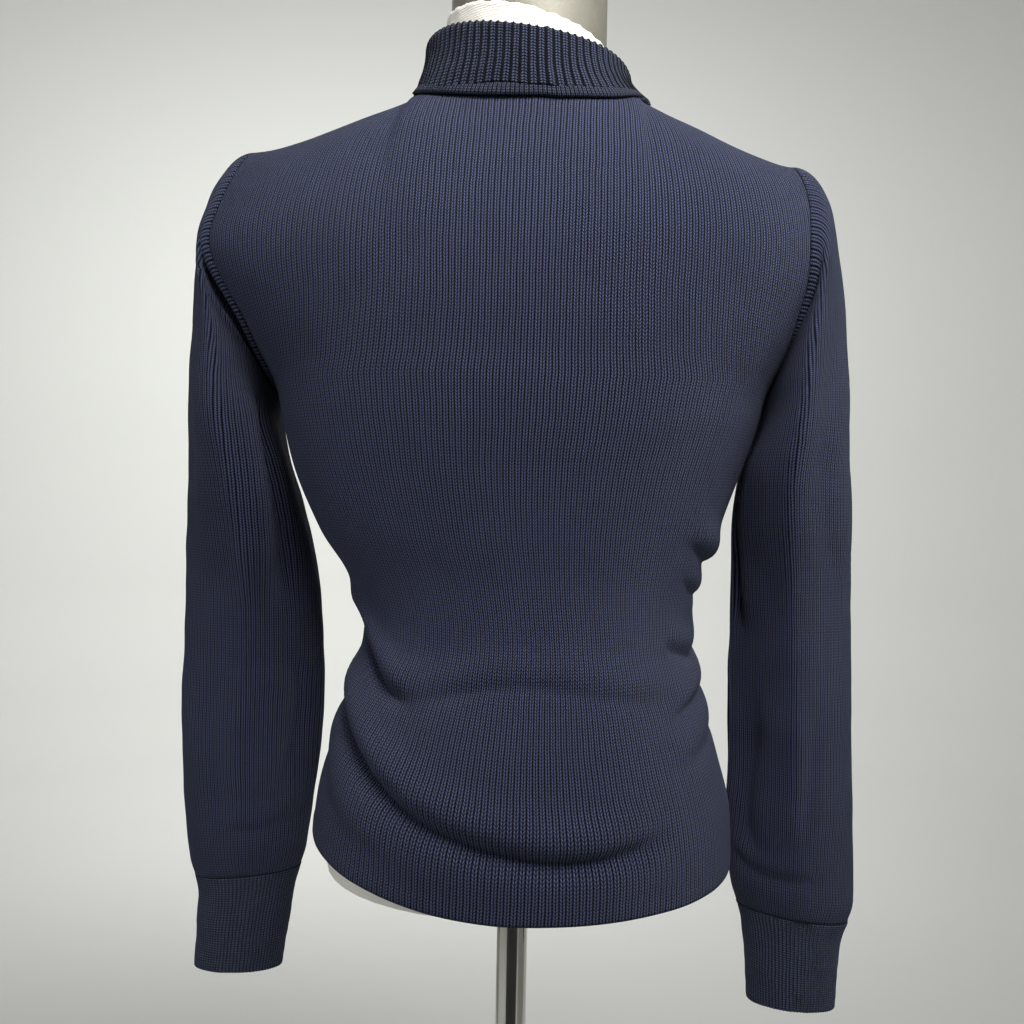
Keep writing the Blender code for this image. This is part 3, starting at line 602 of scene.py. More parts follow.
class Shader:
    """A material under construction."""

    def __init__(self, name):
        self.material = bpy.data.materials.new(name)
        self.material.use_nodes = True
        self.tree = self.material.node_tree
        self.surface = self.tree.nodes["Principled BSDF"]

    def node(self, kind, settings=None, inputs=None):
        """A node of this kind: its settings come first, then the values or links of its sockets."""
        node = self.tree.nodes.new(kind)
        for name, value in (settings or {}).items():
            setattr(node, name, value)
        for name, value in (inputs or {}).items():
            self.connect(node.inputs[name], value)
        return node

    def connect(self, socket, value):
        if isinstance(value, Value):
            value = value.socket
        if isinstance(value, bpy.types.NodeSocket):
            self.tree.links.new(value, socket)
        elif hasattr(value, "__len__") and len(value) == 3 and socket.type == "RGBA":
            socket.default_value = (*value, 1.0)
        else:
            socket.default_value = value

    def value(self, node, output=0):
        return Value(self, node.outputs[output])

    def coordinates(self):
        return self.node("ShaderNodeTexCoord").outputs["Object"]

    def stitches(self):
        """The wale and course counts of the piece's UV map."""
        found = self.node("ShaderNodeUVMap", {"uv_map": "Stitches"})
        parts = self.node("ShaderNodeSeparateXYZ", inputs={0: found.outputs[0]})
        return self.value(parts, 0), self.value(parts, 1)

    def noise(self, scale, detail=2.0, roughness=0.5, vector=None):
        vector = vector or self.coordinates()
        inputs = {"Vector": vector, "Scale": scale, "Detail": detail, "Roughness": roughness}
        return self.value(self.node("ShaderNodeTexNoise", inputs=inputs))

    def blend(self, factor, first, second):
        """A colour between two."""
        return self.node("ShaderNodeMix", {"data_type": "RGBA"}, {0: factor, 6: first, 7: second}).outputs[2]

    def finish(self, constants, changing, height=None, bump=0.0):
        """Sets the surface: plain numbers, then what changes over it, then its relief in metres."""
        for name, value in {**constants, **changing}.items():
            self.connect(self.surface.inputs[name], value)
        if height is not None:
            relief = self.node("ShaderNodeBump", inputs={"Height": height, "Strength": 1.0, "Distance": bump})
            self.connect(self.surface.inputs["Normal"], relief.outputs[0])
        return self.material


def times(color, factor):
    return tuple(channel * factor for channel in color[:3])


# How a knit looks: where the middle of a leg lies between the wale's middle and edge, the leg's width and
# roundness, how far it slants over a stitch, how deep the gaps between the stitches are, and the shades of
# the yarn: painted shade down in the gaps and a painted highlight on top.
Knit = namedtuple("Knit", "leg_at leg_width leg_power slant gap dark light")
PLAIN = Knit(0.45, 0.51, 1.7, -1.10, 0.60, 0.02, 3.15)
RIB = Knit(0.36, 0.42, 2.0, -0.80, 0.70, 0.08, 2.75)


def knit_material(name, yarn, knit):
    """Knit cloth: two slanting legs to each wale, one stitch to each course, loose fibres, and painted shade
    in the gaps between the stitches.
    """
    shader = Shader(name)
    wale, course = shader.stitches()
    wobble = shader.noise(38.0, 2.0)
    wale = wale + (wobble - 0.5) * 0.35
    leg = abs((wale.fraction() - 0.5) * 2)
    strand = (1 - (abs(leg - knit.leg_at) / knit.leg_width) ** knit.leg_power).held()
    stitch = 1 - abs((course + leg * knit.slant).fraction() * 2 - 1) ** 1.6
    height = strand * (1 - knit.gap + stitch * knit.gap)
    patches = shader.noise(14.0, 3.0, 0.6)
    fibres = shader.noise(1900.0, 3.0, 0.7)
    # The colour follows the stitches' height: painted shade darkens the yarn down in the gaps and a painted
    # highlight brightens the strands' tops; the patches and fibres are the yarn's own uneven tone.
    tone = height**2.4 * (0.80 + patches * 0.34) * (0.56 + fibres * 0.88)
    color = shader.blend(tone.held(), times(yarn, knit.dark), times(yarn, knit.light))
    wool = {
        "Roughness": 0.95, "Specular IOR Level": 0.12,
        "Sheen Weight": 0.10, "Sheen Roughness": 0.40, "Sheen Tint": (0.62, 0.68, 0.86, 1.0),
    }
    return shader.finish(wool, {"Base Color": color}, height + (fibres - 0.5) * 0.35, 0.0011)


def jersey_material(name, color):
    """Off-white stretched jersey, fine ribs of its knit and a little grime."""
    shader = Shader(name)
    place = shader.node("ShaderNodeSeparateXYZ", inputs={0: shader.coordinates()})
    height = shader.value(place, 2) * 620
    fine = shader.noise(1100.0, 2.0, 0.6)
    grime = shader.noise(22.0, 4.0, 0.65)
    tone = (0.80 + grime * 0.30 + fine * 0.10).held()
    base = shader.blend(tone, times(color, 0.62), color)
    relief = height.wave() * 0.5 + fine
    cotton = {"Roughness": 0.9, "Sheen Weight": 0.15, "Specular IOR Level": 0.2}
    return shader.finish(cotton, {"Base Color": base}, relief, 0.0003)


# Worn paint: the scales of its patches and grain, the patches' roughness, how much each counts in the tone,
# the shades at both ends, the surface's roughness and how much the patches add to it, and how metallic it is.
Worn = namedtuple("Worn", "patch grain uneven patches_count grain_count dark light rough rougher metallic")
CAP_WEAR = Worn(30.0, 700.0, 0.65, 0.75, 0.30, 0.70, 1.25, 0.34, 0.28, 0.35)
BASE_WEAR = Worn(26.0, 600.0, 0.7, 0.8, 0.2, 0.80, 1.18, 0.38, 0.25, 0.1)


def worn_material(name, color, worn):
    """Worn paint over metal: scuffs, dull patches and fine grain."""
    shader = Shader(name)
    patches = shader.noise(worn.patch, 5.0, worn.uneven)
    grain = shader.noise(worn.grain, 3.0, 0.6)
    tone = (patches * worn.patches_count + grain * worn.grain_count).held()
    base = shader.blend(tone, times(color, worn.dark), times(color, worn.light))
    rough = worn.rough + patches * worn.rougher
    return shader.finish({"Metallic": worn.metallic}, {"Base Color": base, "Roughness": rough}, grain, 0.0002)


def steel_material(name, color):
    """Polished steel tube with faint drawn lines along it."""
    shader = Shader(name)
    placed = {"Vector": shader.coordinates(), "Scale": (900.0, 900.0, 6.0)}
    stretched = shader.node("ShaderNodeMapping", inputs=placed)
    lines = shader.noise(1.0, 3.0, 0.6, stretched.outputs[0])
    smears = shader.noise(18.0, 3.0)
    base = shader.blend(lines, times(color, 0.82), times(color, 1.08))
    rough = 0.05 + lines * 0.07 + smears * 0.07
    return shader.finish({"Metallic": 1.0}, {"Base Color": base, "Roughness": rough}, lines, 0.00004)


def stage_material(name, color):
    """Matt paper with a hardly visible unevenness."""
    shader = Shader(name)
    soft = shader.noise(1.2, 2.0)
    base = shader.blend(soft, times(color, 0.985), color)
    return shader.finish({"Roughness": 0.9, "Specular IOR Level": 0.1}, {"Base Color": base})


def length(name, description, default):
    return FloatProperty(
        name=name, description=description, default=default, min=0.0, unit="LENGTH", precision=4
    )


def power(name, description, default):
    return FloatProperty(name=name, description=description, default=default, min=0.0, unit="POWER")


def count(name, description, default, least):
    return IntProperty(name=name, description=description, default=default, min=least)


def color(name, description, default):
    return FloatVectorProperty(
        name=name, description=description, default=default, size=3, min=0.0, max=1.0, subtype="COLOR"
    )


class KnitSettings(bpy.types.PropertyGroup):
    cloth: length("Cloth thickness", "Thickness of the body's and sleeves' knit", 0.0018)
    rib_cloth: length("Rib thickness", "Thickness of the collar's and cuffs' knit", 0.0022)
    course: length("Course height", "Height of one row of stitches", 0.0020)
    fine_course: length("Rib course height", "Height of one row of stitches in the ribs", 0.0019)
    panel_wales: count("Wales of a panel", "Wales across back or front", 112, 20)
    sleeve_wales: count("Wales of a sleeve", "Wales round a sleeve", 82, 20)
    collar_ribs: count("Collar ribs", "Ribs round the collar", 84, 12)
    cuff_ribs: count("Cuff ribs", "Ribs round a cuff", 80, 12)
    collar_rib: length("Collar rib height", "How far the collar's ribs stand out", 0.0010)
    cuff_rib: length("Cuff rib height", "How far the cuffs' ribs stand out", 0.00045)
    hem: length("Hem height", "Height of the turned hem", 0.0105)
    body_yarn: color("Body yarn", "Colour of the body's yarn", (0.0330, 0.0390, 0.0760))
    rib_yarn: color("Rib yarn", "Colour of the ribs' yarn", (0.0290, 0.0350, 0.0620))


class StandSettings(bpy.types.PropertyGroup):
    neck_radius: length("Cover radius", "Radius of the jersey round the neck", 0.0576)
    cap_radius: length("Cap radius", "Radius of the metal neck cap", 0.0555)
    pole_radius: length("Pole radius", "Radius of the steel pole", 0.011)
    base_radius: length("Base radius", "Radius of the round base", 0.170)
    jersey: color("Jersey", "Colour of the form's cover", (0.80, 0.77, 0.71))
    cap_paint: color("Cap paint", "Colour of the neck cap", (0.21, 0.20, 0.165))
    steel: color("Steel", "Colour of the pole", (0.82, 0.81, 0.75))
    base_paint: color("Base paint", "Colour of the base", (0.20, 0.195, 0.185))


class StageSettings(bpy.types.PropertyGroup):
    backdrop: color("Backdrop", "Colour of floor and backdrop", (0.68, 0.685, 0.665))
    key_light: power("Key light", "Power of the light above", 4.6)
    side_light: power("Side light", "Power of the right light", 18.0)
    fill_light: power("Fill light", "Power of the left light", 16.0)
    backdrop_light: power("Backdrop light", "Power of the light on the backdrop", 52.0)
    sky: FloatProperty(name="Sky", description="Strength of the light all round", default=0.18, min=0.0)


PANEL_COLUMNS = 150
LOW_ROWS = 130
YOKE_ROWS = 84
MIDDLE_WALE = 500
HEM_CURVE_BY_TURN = 1.42
HEM_STEP = 0.0005
HEM_GROOVE, HEM_GROOVE_WIDTH = 0.0007, 0.0012
PANEL_WAVE, PANEL_WAVE_LENGTH = 0.0011, 0.075


def panel_grid(panel, settings):
    """The turns of a panel's columns, its points and its stitch counts."""
    turns = [RIGHT_ANGLE * (2 * c / PANEL_COLUMNS - 1) for c in range(PANEL_COLUMNS + 1)]
    points = [[low_point(panel, turn, row / LOW_ROWS) for turn in turns] for row in range(LOW_ROWS)]
    points += [[yoke_point(panel, turn, row / YOKE_ROWS) for turn in turns] for row in range(YOKE_ROWS + 1)]
    middle = PANEL_COLUMNS // 2
    ups = distances_along([row[middle] for row in points])
    underarm_width = distances_along(points[LOW_ROWS])[-1]
    stitches = []
    for i, row in enumerate(points):
        arcs = distances_along(row)
        width = arcs[-1]
        if i > LOW_ROWS:
            width = underarm_width * (width / underarm_width) ** 0.5
        wales = settings.panel_wales / width
        across = [(arc - arcs[middle]) * wales + MIDDLE_WALE for arc in arcs]
        stitches.append([(wale, ups[i] / settings.course) for wale in across])
    return turns, points, stitches


def make_panel(panel, settings, material):
    """A body panel: folds and a slow waviness on its smooth shape, and the turned hem."""
    turns, points, stitches = panel_grid(panel, settings)
    bm, where = new_grid(PANEL_COLUMNS, len(points) - 1, points, stitches)
    if panel is FRONT:
        bmesh.ops.reverse_faces(bm, faces=bm.faces)
    bm.normal_update()
    turned = [math.degrees(turns[column]) for _, column in where.values()]
    degrees = np.array([turn if panel is BACK else 180 - turn for turn in turned])
    heights = np.array([vertex.co.z for vertex in where])
    offsets = fold_offsets(degrees, heights, BODY_FOLDS, BODY_METRES_PER_DEGREE)
    rises = [side_of(turn).hem_rise for turn in turned]
    above_hem = heights - HEM_HEIGHT - rises * np.abs(np.sin(np.radians(turned))) ** HEM_CURVE_BY_TURN
    offsets -= HEM_GROOVE * bell(above_hem - settings.hem, HEM_GROOVE_WIDTH)
    offsets += HEM_STEP * (above_hem < settings.hem)
    inner = 1 - smooth((np.abs(np.array(turned)) - 70) / 20)
    for vertex, offset, share in zip(where, offsets, inner):
        wave = waviness(vertex.co, PANEL_WAVE, PANEL_WAVE_LENGTH) * (0.35 + 0.65 * share)
        vertex.co += vertex.normal * (offset + wave)
    name = panel.column + "_panel"
    return add_piece(name + "_knit", bm, material, [name], settings.cloth)


class SWEATER_OT_panels(bpy.types.Operator):
    """Knit the back and the front of the sweater"""

    bl_idname = "sweater.panels"
    bl_label = "Back and Front"

    def execute(self, context):
        settings = context.scene.sweater_knit
        material = knit_material("navy_knit", settings.body_yarn, PLAIN)
        for panel in (BACK, FRONT):
            piece = make_panel(panel, settings, material)
        return {"FINISHED"}


SLEEVE_COLUMNS = 96
CAP_ROWS = 56
ARM_ROWS = 124
CAP_FOOT_PASSES, CAP_FOOT_ROWS = 40, 8
FIRST_COURSE = 900
SLEEVE_WAVE, SLEEVE_WAVE_LENGTH = 0.0014, 0.060
# The pocket of a sleeve's back beside the armhole, by the distance from the seam: its trough and the rim
# past it. In columns and rows: where it starts before the underarm, how far it reaches and how it fades.
POCKET_AT, POCKET_WIDTH, POCKET_START = 0.012, 0.0095, 0.011
RIM_AT, RIM_WIDTH, RIM = 0.032, 0.011, 0.24
POCKET_LEAD, POCKET_REACH, POCKET_FADE = 8, 0.28, 14


def make_sleeve(side, settings, material):
    """A set-in sleeve with its creases and folds."""
    rows = CAP_ROWS + ARM_ROWS
    points = []
    for row in range(rows + 1):
        down = row / CAP_ROWS if row <= CAP_ROWS else 1 + (row - CAP_ROWS) / ARM_ROWS
        shares = [(c % SLEEVE_COLUMNS) / SLEEVE_COLUMNS for c in range(SLEEVE_COLUMNS + 1)]
        points.append([sleeve_point(side, share, down) for share in shares])
    for _ in range(CAP_FOOT_PASSES):
        for row in range(CAP_ROWS - CAP_FOOT_ROWS, CAP_ROWS + CAP_FOOT_ROWS + 1):
            for c, point in enumerate(points[row]):
                points[row][c] = point.lerp((points[row - 1][c] + points[row + 1][c]) / 2, 0.5)
    downs = distances_along([row[SLEEVE_COLUMNS // 2] for row in points])
    by_column = [distances_along([row[c] for row in points]) for c in range(SLEEVE_COLUMNS + 1)]
    seam_distances = list(zip(*by_column))
    stitches = []
    for row in range(rows + 1):
        course = -downs[row] / settings.course
        arcs = distances_along(points[row])
        stitches.append([(arc / arcs[-1] * settings.sleeve_wales, course + FIRST_COURSE) for arc in arcs])
    bm, where = new_grid(SLEEVE_COLUMNS, rows, points, stitches)
    weld(bm)
    places = [(vertex, where[vertex]) for vertex in bm.verts]
    cap_bottom = SLEEVE[-1].height
    turn_faces_out(bm, lambda face: sleeve_middle(side, SLEEVE, min(face.calc_center_median().z, cap_bottom)))
    degrees = np.array([360 * column / SLEEVE_COLUMNS for _, (_, column) in places])
    heights = np.array([vertex.co.z for vertex, _ in places])
    offsets = fold_offsets(degrees, heights, SLEEVE_FOLDS[side.name], SLEEVE_METRES_PER_DEGREE)
    rows_down = np.array([row for _, (row, _) in places])
    free = smooth(rows_down / 10) * smooth((rows - rows_down) / 8)
    for (vertex, (row, column)), offset, share in zip(places, offsets, free):
        from_seam = seam_distances[row][column]
        past_front = (column + POCKET_LEAD) % SLEEVE_COLUMNS
        left = POCKET_REACH * SLEEVE_COLUMNS + POCKET_LEAD - past_front
        low_back = smooth(past_front / POCKET_LEAD) * smooth(left / POCKET_FADE)
        low_back *= smooth((CAP_ROWS - row) / POCKET_FADE)
        pocket = bell(from_seam - POCKET_AT, POCKET_WIDTH) * smooth(from_seam / POCKET_START)
        pocket -= bell(from_seam - RIM_AT, RIM_WIDTH) * RIM
        wave = waviness(vertex.co, SLEEVE_WAVE, SLEEVE_WAVE_LENGTH)
        vertex.co += vertex.normal * (share * (offset + wave) - pocket * side.pocket * low_back)
    name = side.name + "_sleeve"
    return add_piece(name + "_knit", bm, material, [name], settings.cloth)


class SWEATER_OT_sleeves(bpy.types.Operator):
    """Knit the two set-in sleeves"""

    bl_idname = "sweater.sleeves"
    bl_label = "Sleeves"

    def execute(self, context):
        settings = context.scene.sweater_knit
        material = knit_material("navy_sleeve_knit", settings.body_yarn, PLAIN)
        for side in (LEFT, RIGHT):
            piece = make_sleeve(side, settings, material)
        return {"FINISHED"}


RIB_COLUMNS = 6
CUFF_ROWS = 40
CUFF_SWELL = 0.0006
CUFF_FOOT_RIB = 0.0007
CUFF_WAVE, CUFF_WAVE_LENGTH, CUFF_WAVE_RADIUS = 0.0008, 0.02, 0.03
CUFF_CLOTH_SHARE = 0.8


def rib_profile(column):
    """Height of a rib from 0 to 1, round on top with a narrow valley beside it."""
    share = (column % RIB_COLUMNS) / RIB_COLUMNS
    return abs(math.sin(math.pi * share)) ** 0.7


def make_cuff(side, settings, material):
    """A ribbed cuff, a little uneven along its edge."""
    columns = settings.cuff_ribs * RIB_COLUMNS
    points, stitches = [], []
    for row in range(CUFF_ROWS + 1):
        height = mix(CUFF_BOTTOM, CUFF_TOP, row / CUFF_ROWS)
        ring = [sleeve_section(side, CUFF, (c % columns) / columns, height) for c in range(columns + 1)]
        middle = ring[0].lerp(ring[columns // 2], 0.5)
        for c, point in enumerate(ring):
            away = (point - middle).normalized()
            swell = CUFF_SWELL * math.sin(math.pi * row / CUFF_ROWS)
            wave = waviness(middle + away * CUFF_WAVE_RADIUS, CUFF_WAVE, CUFF_WAVE_LENGTH)
            point += away * (settings.cuff_rib * (rib_profile(c) - 0.4) + swell + wave)
            if row == 0:
                point.z += CUFF_FOOT_RIB * rib_profile(c)
        points.append(ring)
        course = (height - CUFF_BOTTOM) / settings.fine_course
        stitches.append([(c / RIB_COLUMNS, course) for c in range(columns + 1)])
    bm, _ = new_grid(columns, CUFF_ROWS, points, stitches)
    weld(bm)
    centre = sleeve_middle(side, CUFF, 0.6)
    turn_faces_out(bm, lambda face: centre)
    name = side.name + "_cuff"
    return add_piece(name + "_rib", bm, material, [name], settings.rib_cloth * CUFF_CLOTH_SHARE)


class SWEATER_OT_cuffs(bpy.types.Operator):
    """Knit the two ribbed cuffs"""

    bl_idname = "sweater.cuffs"
    bl_label = "Cuffs"

    def execute(self, context):
        settings = context.scene.sweater_knit
        material = knit_material("navy_cuff_rib", settings.rib_yarn, RIB)
        for side in (LEFT, RIGHT):
            piece = make_cuff(side, settings, material)
        return {"FINISHED"}


STAND_ROWS = 24
FOLD_ROWS = 10
FALL_ROWS = 26
BAND_ROWS = 6
STAND_SHARE = 0.92
COLLAR_SIDE_RISE = 0.0070
COLLAR_SEAM_TURN, COLLAR_SEAM_WIDTH, COLLAR_SEAM_DEPTH = 0.25, 0.0013, 0.0012
COLLAR_WAVE, COLLAR_WAVE_LENGTH = 0.0011, 0.022
# The neckband at the stand's foot, on the back alone: the degrees round the neck at which it ends and over
# which it fades, how steeply and how far it lies off the yoke, its swelling, and how far up the stand it
# draws the cloth along.
BAND_END, BAND_FADE = 98, 30
BAND_LIFT, BAND_OUT = 0.6, 0.0028
BAND_SWELL, BAND_AT = 0.0022, 0.09
BAND_PULL, BAND_PULL_POWER = 0.26, 1.4

# The fall's lower edge, by degrees round the neck: its height over the neck seam and how far out it is.
FALL_EDGE = table(
    "degrees rise reach",
    (-180, 0.0040, 0.0120),
    (-130, 0.0020, 0.0100),
    (-95, -0.0010, 0.0062),
    (-72, -0.0012, 0.0054),
    (-45, 0.0035, 0.0062),
    (-25, 0.0074, 0.0054),
    (-10, 0.0092, 0.0052),
    (9, 0.0066, 0.0056),
    (19, 0.0042, 0.0062),
    (40, 0.0034, 0.0068),
    (72, 0.0008, 0.0082),
    (95, 0.0004, 0.0086),
    (130, 0.0020, 0.0100),
    (180, 0.0040, 0.0120),
)
# The neckband's foot, by degrees round the neck: how far down the yoke it lies, as a share of the yoke.
BAND_FOOT = table(
    "degrees down",
    (-180, 0.0),
    (-95, 0.0),
    (-60, 0.015),
    (-10, 0.020),
    (8, 0.026),
    (20, 0.050),
    (48, 0.072),
    (72, 0.050),
    (92, 0.0),
    (180, 0.0),
)


def round_neck(rows, turn, column):
    """The value of a table's column at a turn round the neck."""
    degrees = signed_degrees(turn)
    for low, high in zip(rows, rows[1:]):
        if degrees <= high.degrees:
            share = (degrees - low.degrees) / (high.degrees - low.degrees)
            return mix(getattr(low, column), getattr(high, column), smooth(share))


def collar_profile(turn, settings):
    """The points up the stand, over the fold and down the fall, at one turn round the neck."""
    half = settings.rib_cloth + COLLAR_FALL_GAP / 2
    higher = Vector((0, 0, COLLAR_SIDE_RISE * math.sin(turn) ** 2))
    away = outward(turn)
    on_back = smooth((BAND_END - abs(signed_degrees(turn))) / BAND_FADE)
    foot = neck_ring(turn, 1 - round_neck(BAND_FOOT, turn, "down"))
    foot += (away + Vector((0, 0, BAND_LIFT))).normalized() * BAND_OUT
    pull = (foot - collar_point(turn, 0.0, 0.0)) * on_back
    made = []
    for row in range(STAND_ROWS):
        rise = STAND_SHARE * row / STAND_ROWS
        band = BAND_SWELL * on_back * bell(rise - BAND_AT, BAND_AT)
        pulled = max(0.0, 1 - rise / BAND_PULL) ** BAND_PULL_POWER
        made.append(collar_point(turn, rise, band) + higher * rise + pull * pulled)
    for row in range(FOLD_ROWS):
        angle = math.pi * row / FOLD_ROWS
        lift = Vector((0, 0, half * (math.sin(angle) - 1)))
        made.append(collar_point(turn, 1.0, half * (1 - math.cos(angle))) + lift + higher)
    start = collar_point(turn, 1.0, 2 * half) - Vector((0, 0, half)) + higher
    seam = neck_ring(turn)
    end = seam + away * round_neck(FALL_EDGE, turn, "reach")
    end.z = seam.z + round_neck(FALL_EDGE, turn, "rise")
    for row in range(FALL_ROWS + 1):
        share = row / FALL_ROWS
        point = start.lerp(end, share**2.0)
        point.z = mix(start.z, end.z, share)
        made.append(point)
    return made


def make_collar(settings, material):
    """The folded collar in raised ribs."""
    columns = settings.collar_ribs * RIB_COLUMNS
    rows = STAND_ROWS + FOLD_ROWS + FALL_ROWS
    profiles = [collar_profile(2 * math.pi * c / columns, settings) for c in range(columns)]
    profiles.append([point.copy() for point in profiles[0]])
    points = [[profile[row] for profile in profiles] for row in range(rows + 1)]
    ups = distances_along(profiles[0])
    stitches = []
    for row, up in enumerate(ups):
        wales = 2 / RIB_COLUMNS if row < BAND_ROWS else 1 / RIB_COLUMNS
        stitches.append([(c * wales, up / settings.fine_course) for c in range(columns + 1)])
    bm, where = new_grid(columns, rows, points, stitches)
    weld(bm)
    bm.normal_update()
    if not any(face.normal.z > 0.7 for face in bm.faces):
        bmesh.ops.reverse_faces(bm, faces=bm.faces)
        bm.normal_update()
    for vertex in bm.verts:
        row, column = where[vertex]
        past_seam = (2 * math.pi * column / columns - COLLAR_SEAM_TURN) * NECK_HALF_WIDTH
        share = smooth((row - BAND_ROWS) / 4)
        raised = settings.collar_rib * (rib_profile(column) - 0.5) * (1 - 0.55 * bell(past_seam, 0.004))
        raised -= COLLAR_SEAM_DEPTH * bell(past_seam, COLLAR_SEAM_WIDTH)
        wave = waviness(vertex.co, COLLAR_WAVE, COLLAR_WAVE_LENGTH) * smooth((row - STAND_ROWS) / FALL_ROWS)
        vertex.co += vertex.normal * (raised * share + wave)
    return add_piece("collar_rib", bm, material, ["collar"], settings.rib_cloth)


class SWEATER_OT_collar(bpy.types.Operator):
    """Knit the folded turtleneck collar"""

    bl_idname = "sweater.collar"
    bl_label = "Collar"

    def execute(self, context):
        settings = context.scene.sweater_knit
        material = knit_material("navy_collar_rib", settings.rib_yarn, RIB)
        piece = make_collar(settings, material)
        return {"FINISHED"}


SEAM_SIDES = 8
RING_STEPS, CUFF_RING_STEPS, SHOULDER_STEPS, FLANK_STEPS = 120, 72, 60, 80
# Where a seam's tube reads the knit: beside the wale's middle, and in turn at two heights of a course.
SEAM_WALE, SEAM_COURSES = 0.68, (0.25, 0.30)
SEAM_UNEVEN = 0.10
SEAM_SHADE = 0.45
SEAM_RADIUS, SHOULDER_SEAM_RADIUS, NECK_SEAM_RADIUS = 0.0008, 0.0007, 0.0012


def make_seam(name, line, radius, material, closed=False):
    """A slim linked seam along a line of points."""
    steps = len(line)
    points, stitches = [], []
    for k, place in enumerate(line):
        before = line[k - 1] if k or closed else place
        after = line[(k + 1) % steps] if k < steps - 1 or closed else place
        along = (after - before).normalized()
        across = across - along * across.dot(along) if points else along.orthogonal()
        across.normalize()
        other = along.cross(across)
        thick = radius * (1 + SEAM_UNEVEN * math.sin(2.9 * k))
        ring = []
        for c in range(SEAM_SIDES + 1):
            angle = 2 * math.pi * (c % SEAM_SIDES) / SEAM_SIDES
            ring.append(place + (across * math.cos(angle) + other * math.sin(angle)) * thick)
        points.append(ring)
        stitches.append([(SEAM_WALE, SEAM_COURSES[k % 2])] * (SEAM_SIDES + 1))
    bm, _ = new_grid(SEAM_SIDES, steps - 1, points, stitches)
    weld(bm)
    if closed:
        bmesh.ops.bridge_loops(bm, edges=[edge for edge in bm.edges if edge.is_boundary])
    else:
        bmesh.ops.holes_fill(bm, edges=bm.edges, sides=0)
    bmesh.ops.recalc_face_normals(bm, faces=bm.faces)
    add_piece(name, bm, material)


def armhole_line(side, out):
    middle = armhole_point(side, 0.25).lerp(armhole_point(side, 0.75), 0.5)
    line = []
    for k in range(RING_STEPS):
        point = armhole_point(side, k / RING_STEPS)
        away = (point - middle).normalized()
        line.append(point + away * out * 0.5 + Vector((side.sign * out, 0, 0)))
    return line


def shoulder_line(side, out):
    line = []
    for k in range(SHOULDER_STEPS + 1):
        turn = side.sign * mix(NECK_TURN * 1.04, RIGHT_ANGLE * 0.99, k / SHOULDER_STEPS)
        line.append(yoke_point(BACK, turn, 1.0) + Vector((0, SEAM_GAP / 2, out)))
    return line


def side_line(side, out):
    shares = np.linspace(0.004, 0.996, FLANK_STEPS + 1)
    line = [low_point(BACK, side.sign * RIGHT_ANGLE, share) for share in shares]
    heights = np.array([point.z for point in line])
    degrees = np.full(len(line), side.sign * 90.0)
    bumps = fold_offsets(degrees, heights, BODY_FOLDS, BODY_METRES_PER_DEGREE)
    return [point + Vector((side.sign * (out + bump), SEAM_GAP / 2, 0)) for point, bump in zip(line, bumps)]


def cuff_line(side, out):
    line = []
    for k in range(CUFF_RING_STEPS):
        low = sleeve_section(side, SLEEVE, k / CUFF_RING_STEPS, CUFF_TOP + CUFF_GAP)
        away = low - sleeve_middle(side, SLEEVE, CUFF_TOP)
        away.z = 0
        line.append(low + away.normalized() * out * 1.6 - Vector((0, 0, CUFF_GAP / 2)))
    return line


def neck_line(out):
    turns = [2 * math.pi * k / RING_STEPS for k in range(RING_STEPS)]
    ring = [neck_ring(turn) + Vector((0, 0, NECK_SEAM_RADIUS)) for turn in turns]
    return [point + Vector((point.x, point.y, 0)).normalized() * out for point in ring]


class SWEATER_OT_seams(bpy.types.Operator):
    """Lay the linked seams: armholes, shoulders, sides and the sleeves' ends"""

    bl_idname = "sweater.seams"
    bl_label = "Seams"

    def execute(self, context):
        settings = context.scene.sweater_knit
        material = knit_material("navy_seam", times(settings.body_yarn, SEAM_SHADE), RIB)
        out = settings.cloth * 0.5
        for side in (LEFT, RIGHT):
            name = side.name
            make_seam(name + "_armhole_seam", armhole_line(side, out), SEAM_RADIUS, material, closed=True)
            make_seam(name + "_shoulder_seam", shoulder_line(side, out), SHOULDER_SEAM_RADIUS, material)
            make_seam(name + "_side_seam", side_line(side, out), SEAM_RADIUS, material)
            make_seam(name + "_cuff_seam", cuff_line(side, out), SEAM_RADIUS, material, closed=True)
        make_seam("neck_seam", neck_line(out), NECK_SEAM_RADIUS, material, closed=True)
        return {"FINISHED"}


def rounded(low, high, radius, bevel, steps=5):
    """Outline points of a cylinder's outer side with round edges, from top to bottom."""
    made = []
    for k in range(steps + 1):
        angle = RIGHT_ANGLE * k / steps
        made.append((radius - bevel * (1 - math.sin(angle)), high - bevel * (1 - math.cos(angle))))
    return made + [(outer, low + high - height) for outer, height in reversed(made)]


TURNED_ANGLE = 35
COVER_COLUMNS = 180
COVER_ROWS = 16
COVER_FOOT, COVER_TOP, COVER_TILT = 1.226, 1.2535, 0.0135
COVER_CLOTH = 0.0007
COVER_HEM, COVER_HEM_START = 0.0006, 0.86
# The base's outline inside its round rim: the socket round the pole, its foot and the disc's slight slope.
BASE_OUTLINE = (
    (0.020, 0.0185), (0.0206, 0.0160), (0.0222, 0.0138), (0.026, 0.0122), (0.060, 0.0119), (0.150, 0.0114),
)
BASE_EDGE_TOP, BASE_BEVEL = 0.0110, 0.0040
CAP_BEVEL, POLE_BEVEL = 0.005, 0.0006


def cover_top(turn):
    """The uneven upper edge of the jersey round the neck, pulled lower on its right."""
    around = Vector((math.cos(turn), math.sin(turn), 0))
    frayed = 0.0012 * noise.noise(around * 9 + Vector((0, 0, 0.3)))
    frayed += 0.0007 * noise.noise(around * 60 + Vector((0, 0, 4.1)))
    return COVER_TOP - COVER_TILT * math.sin(turn) + frayed


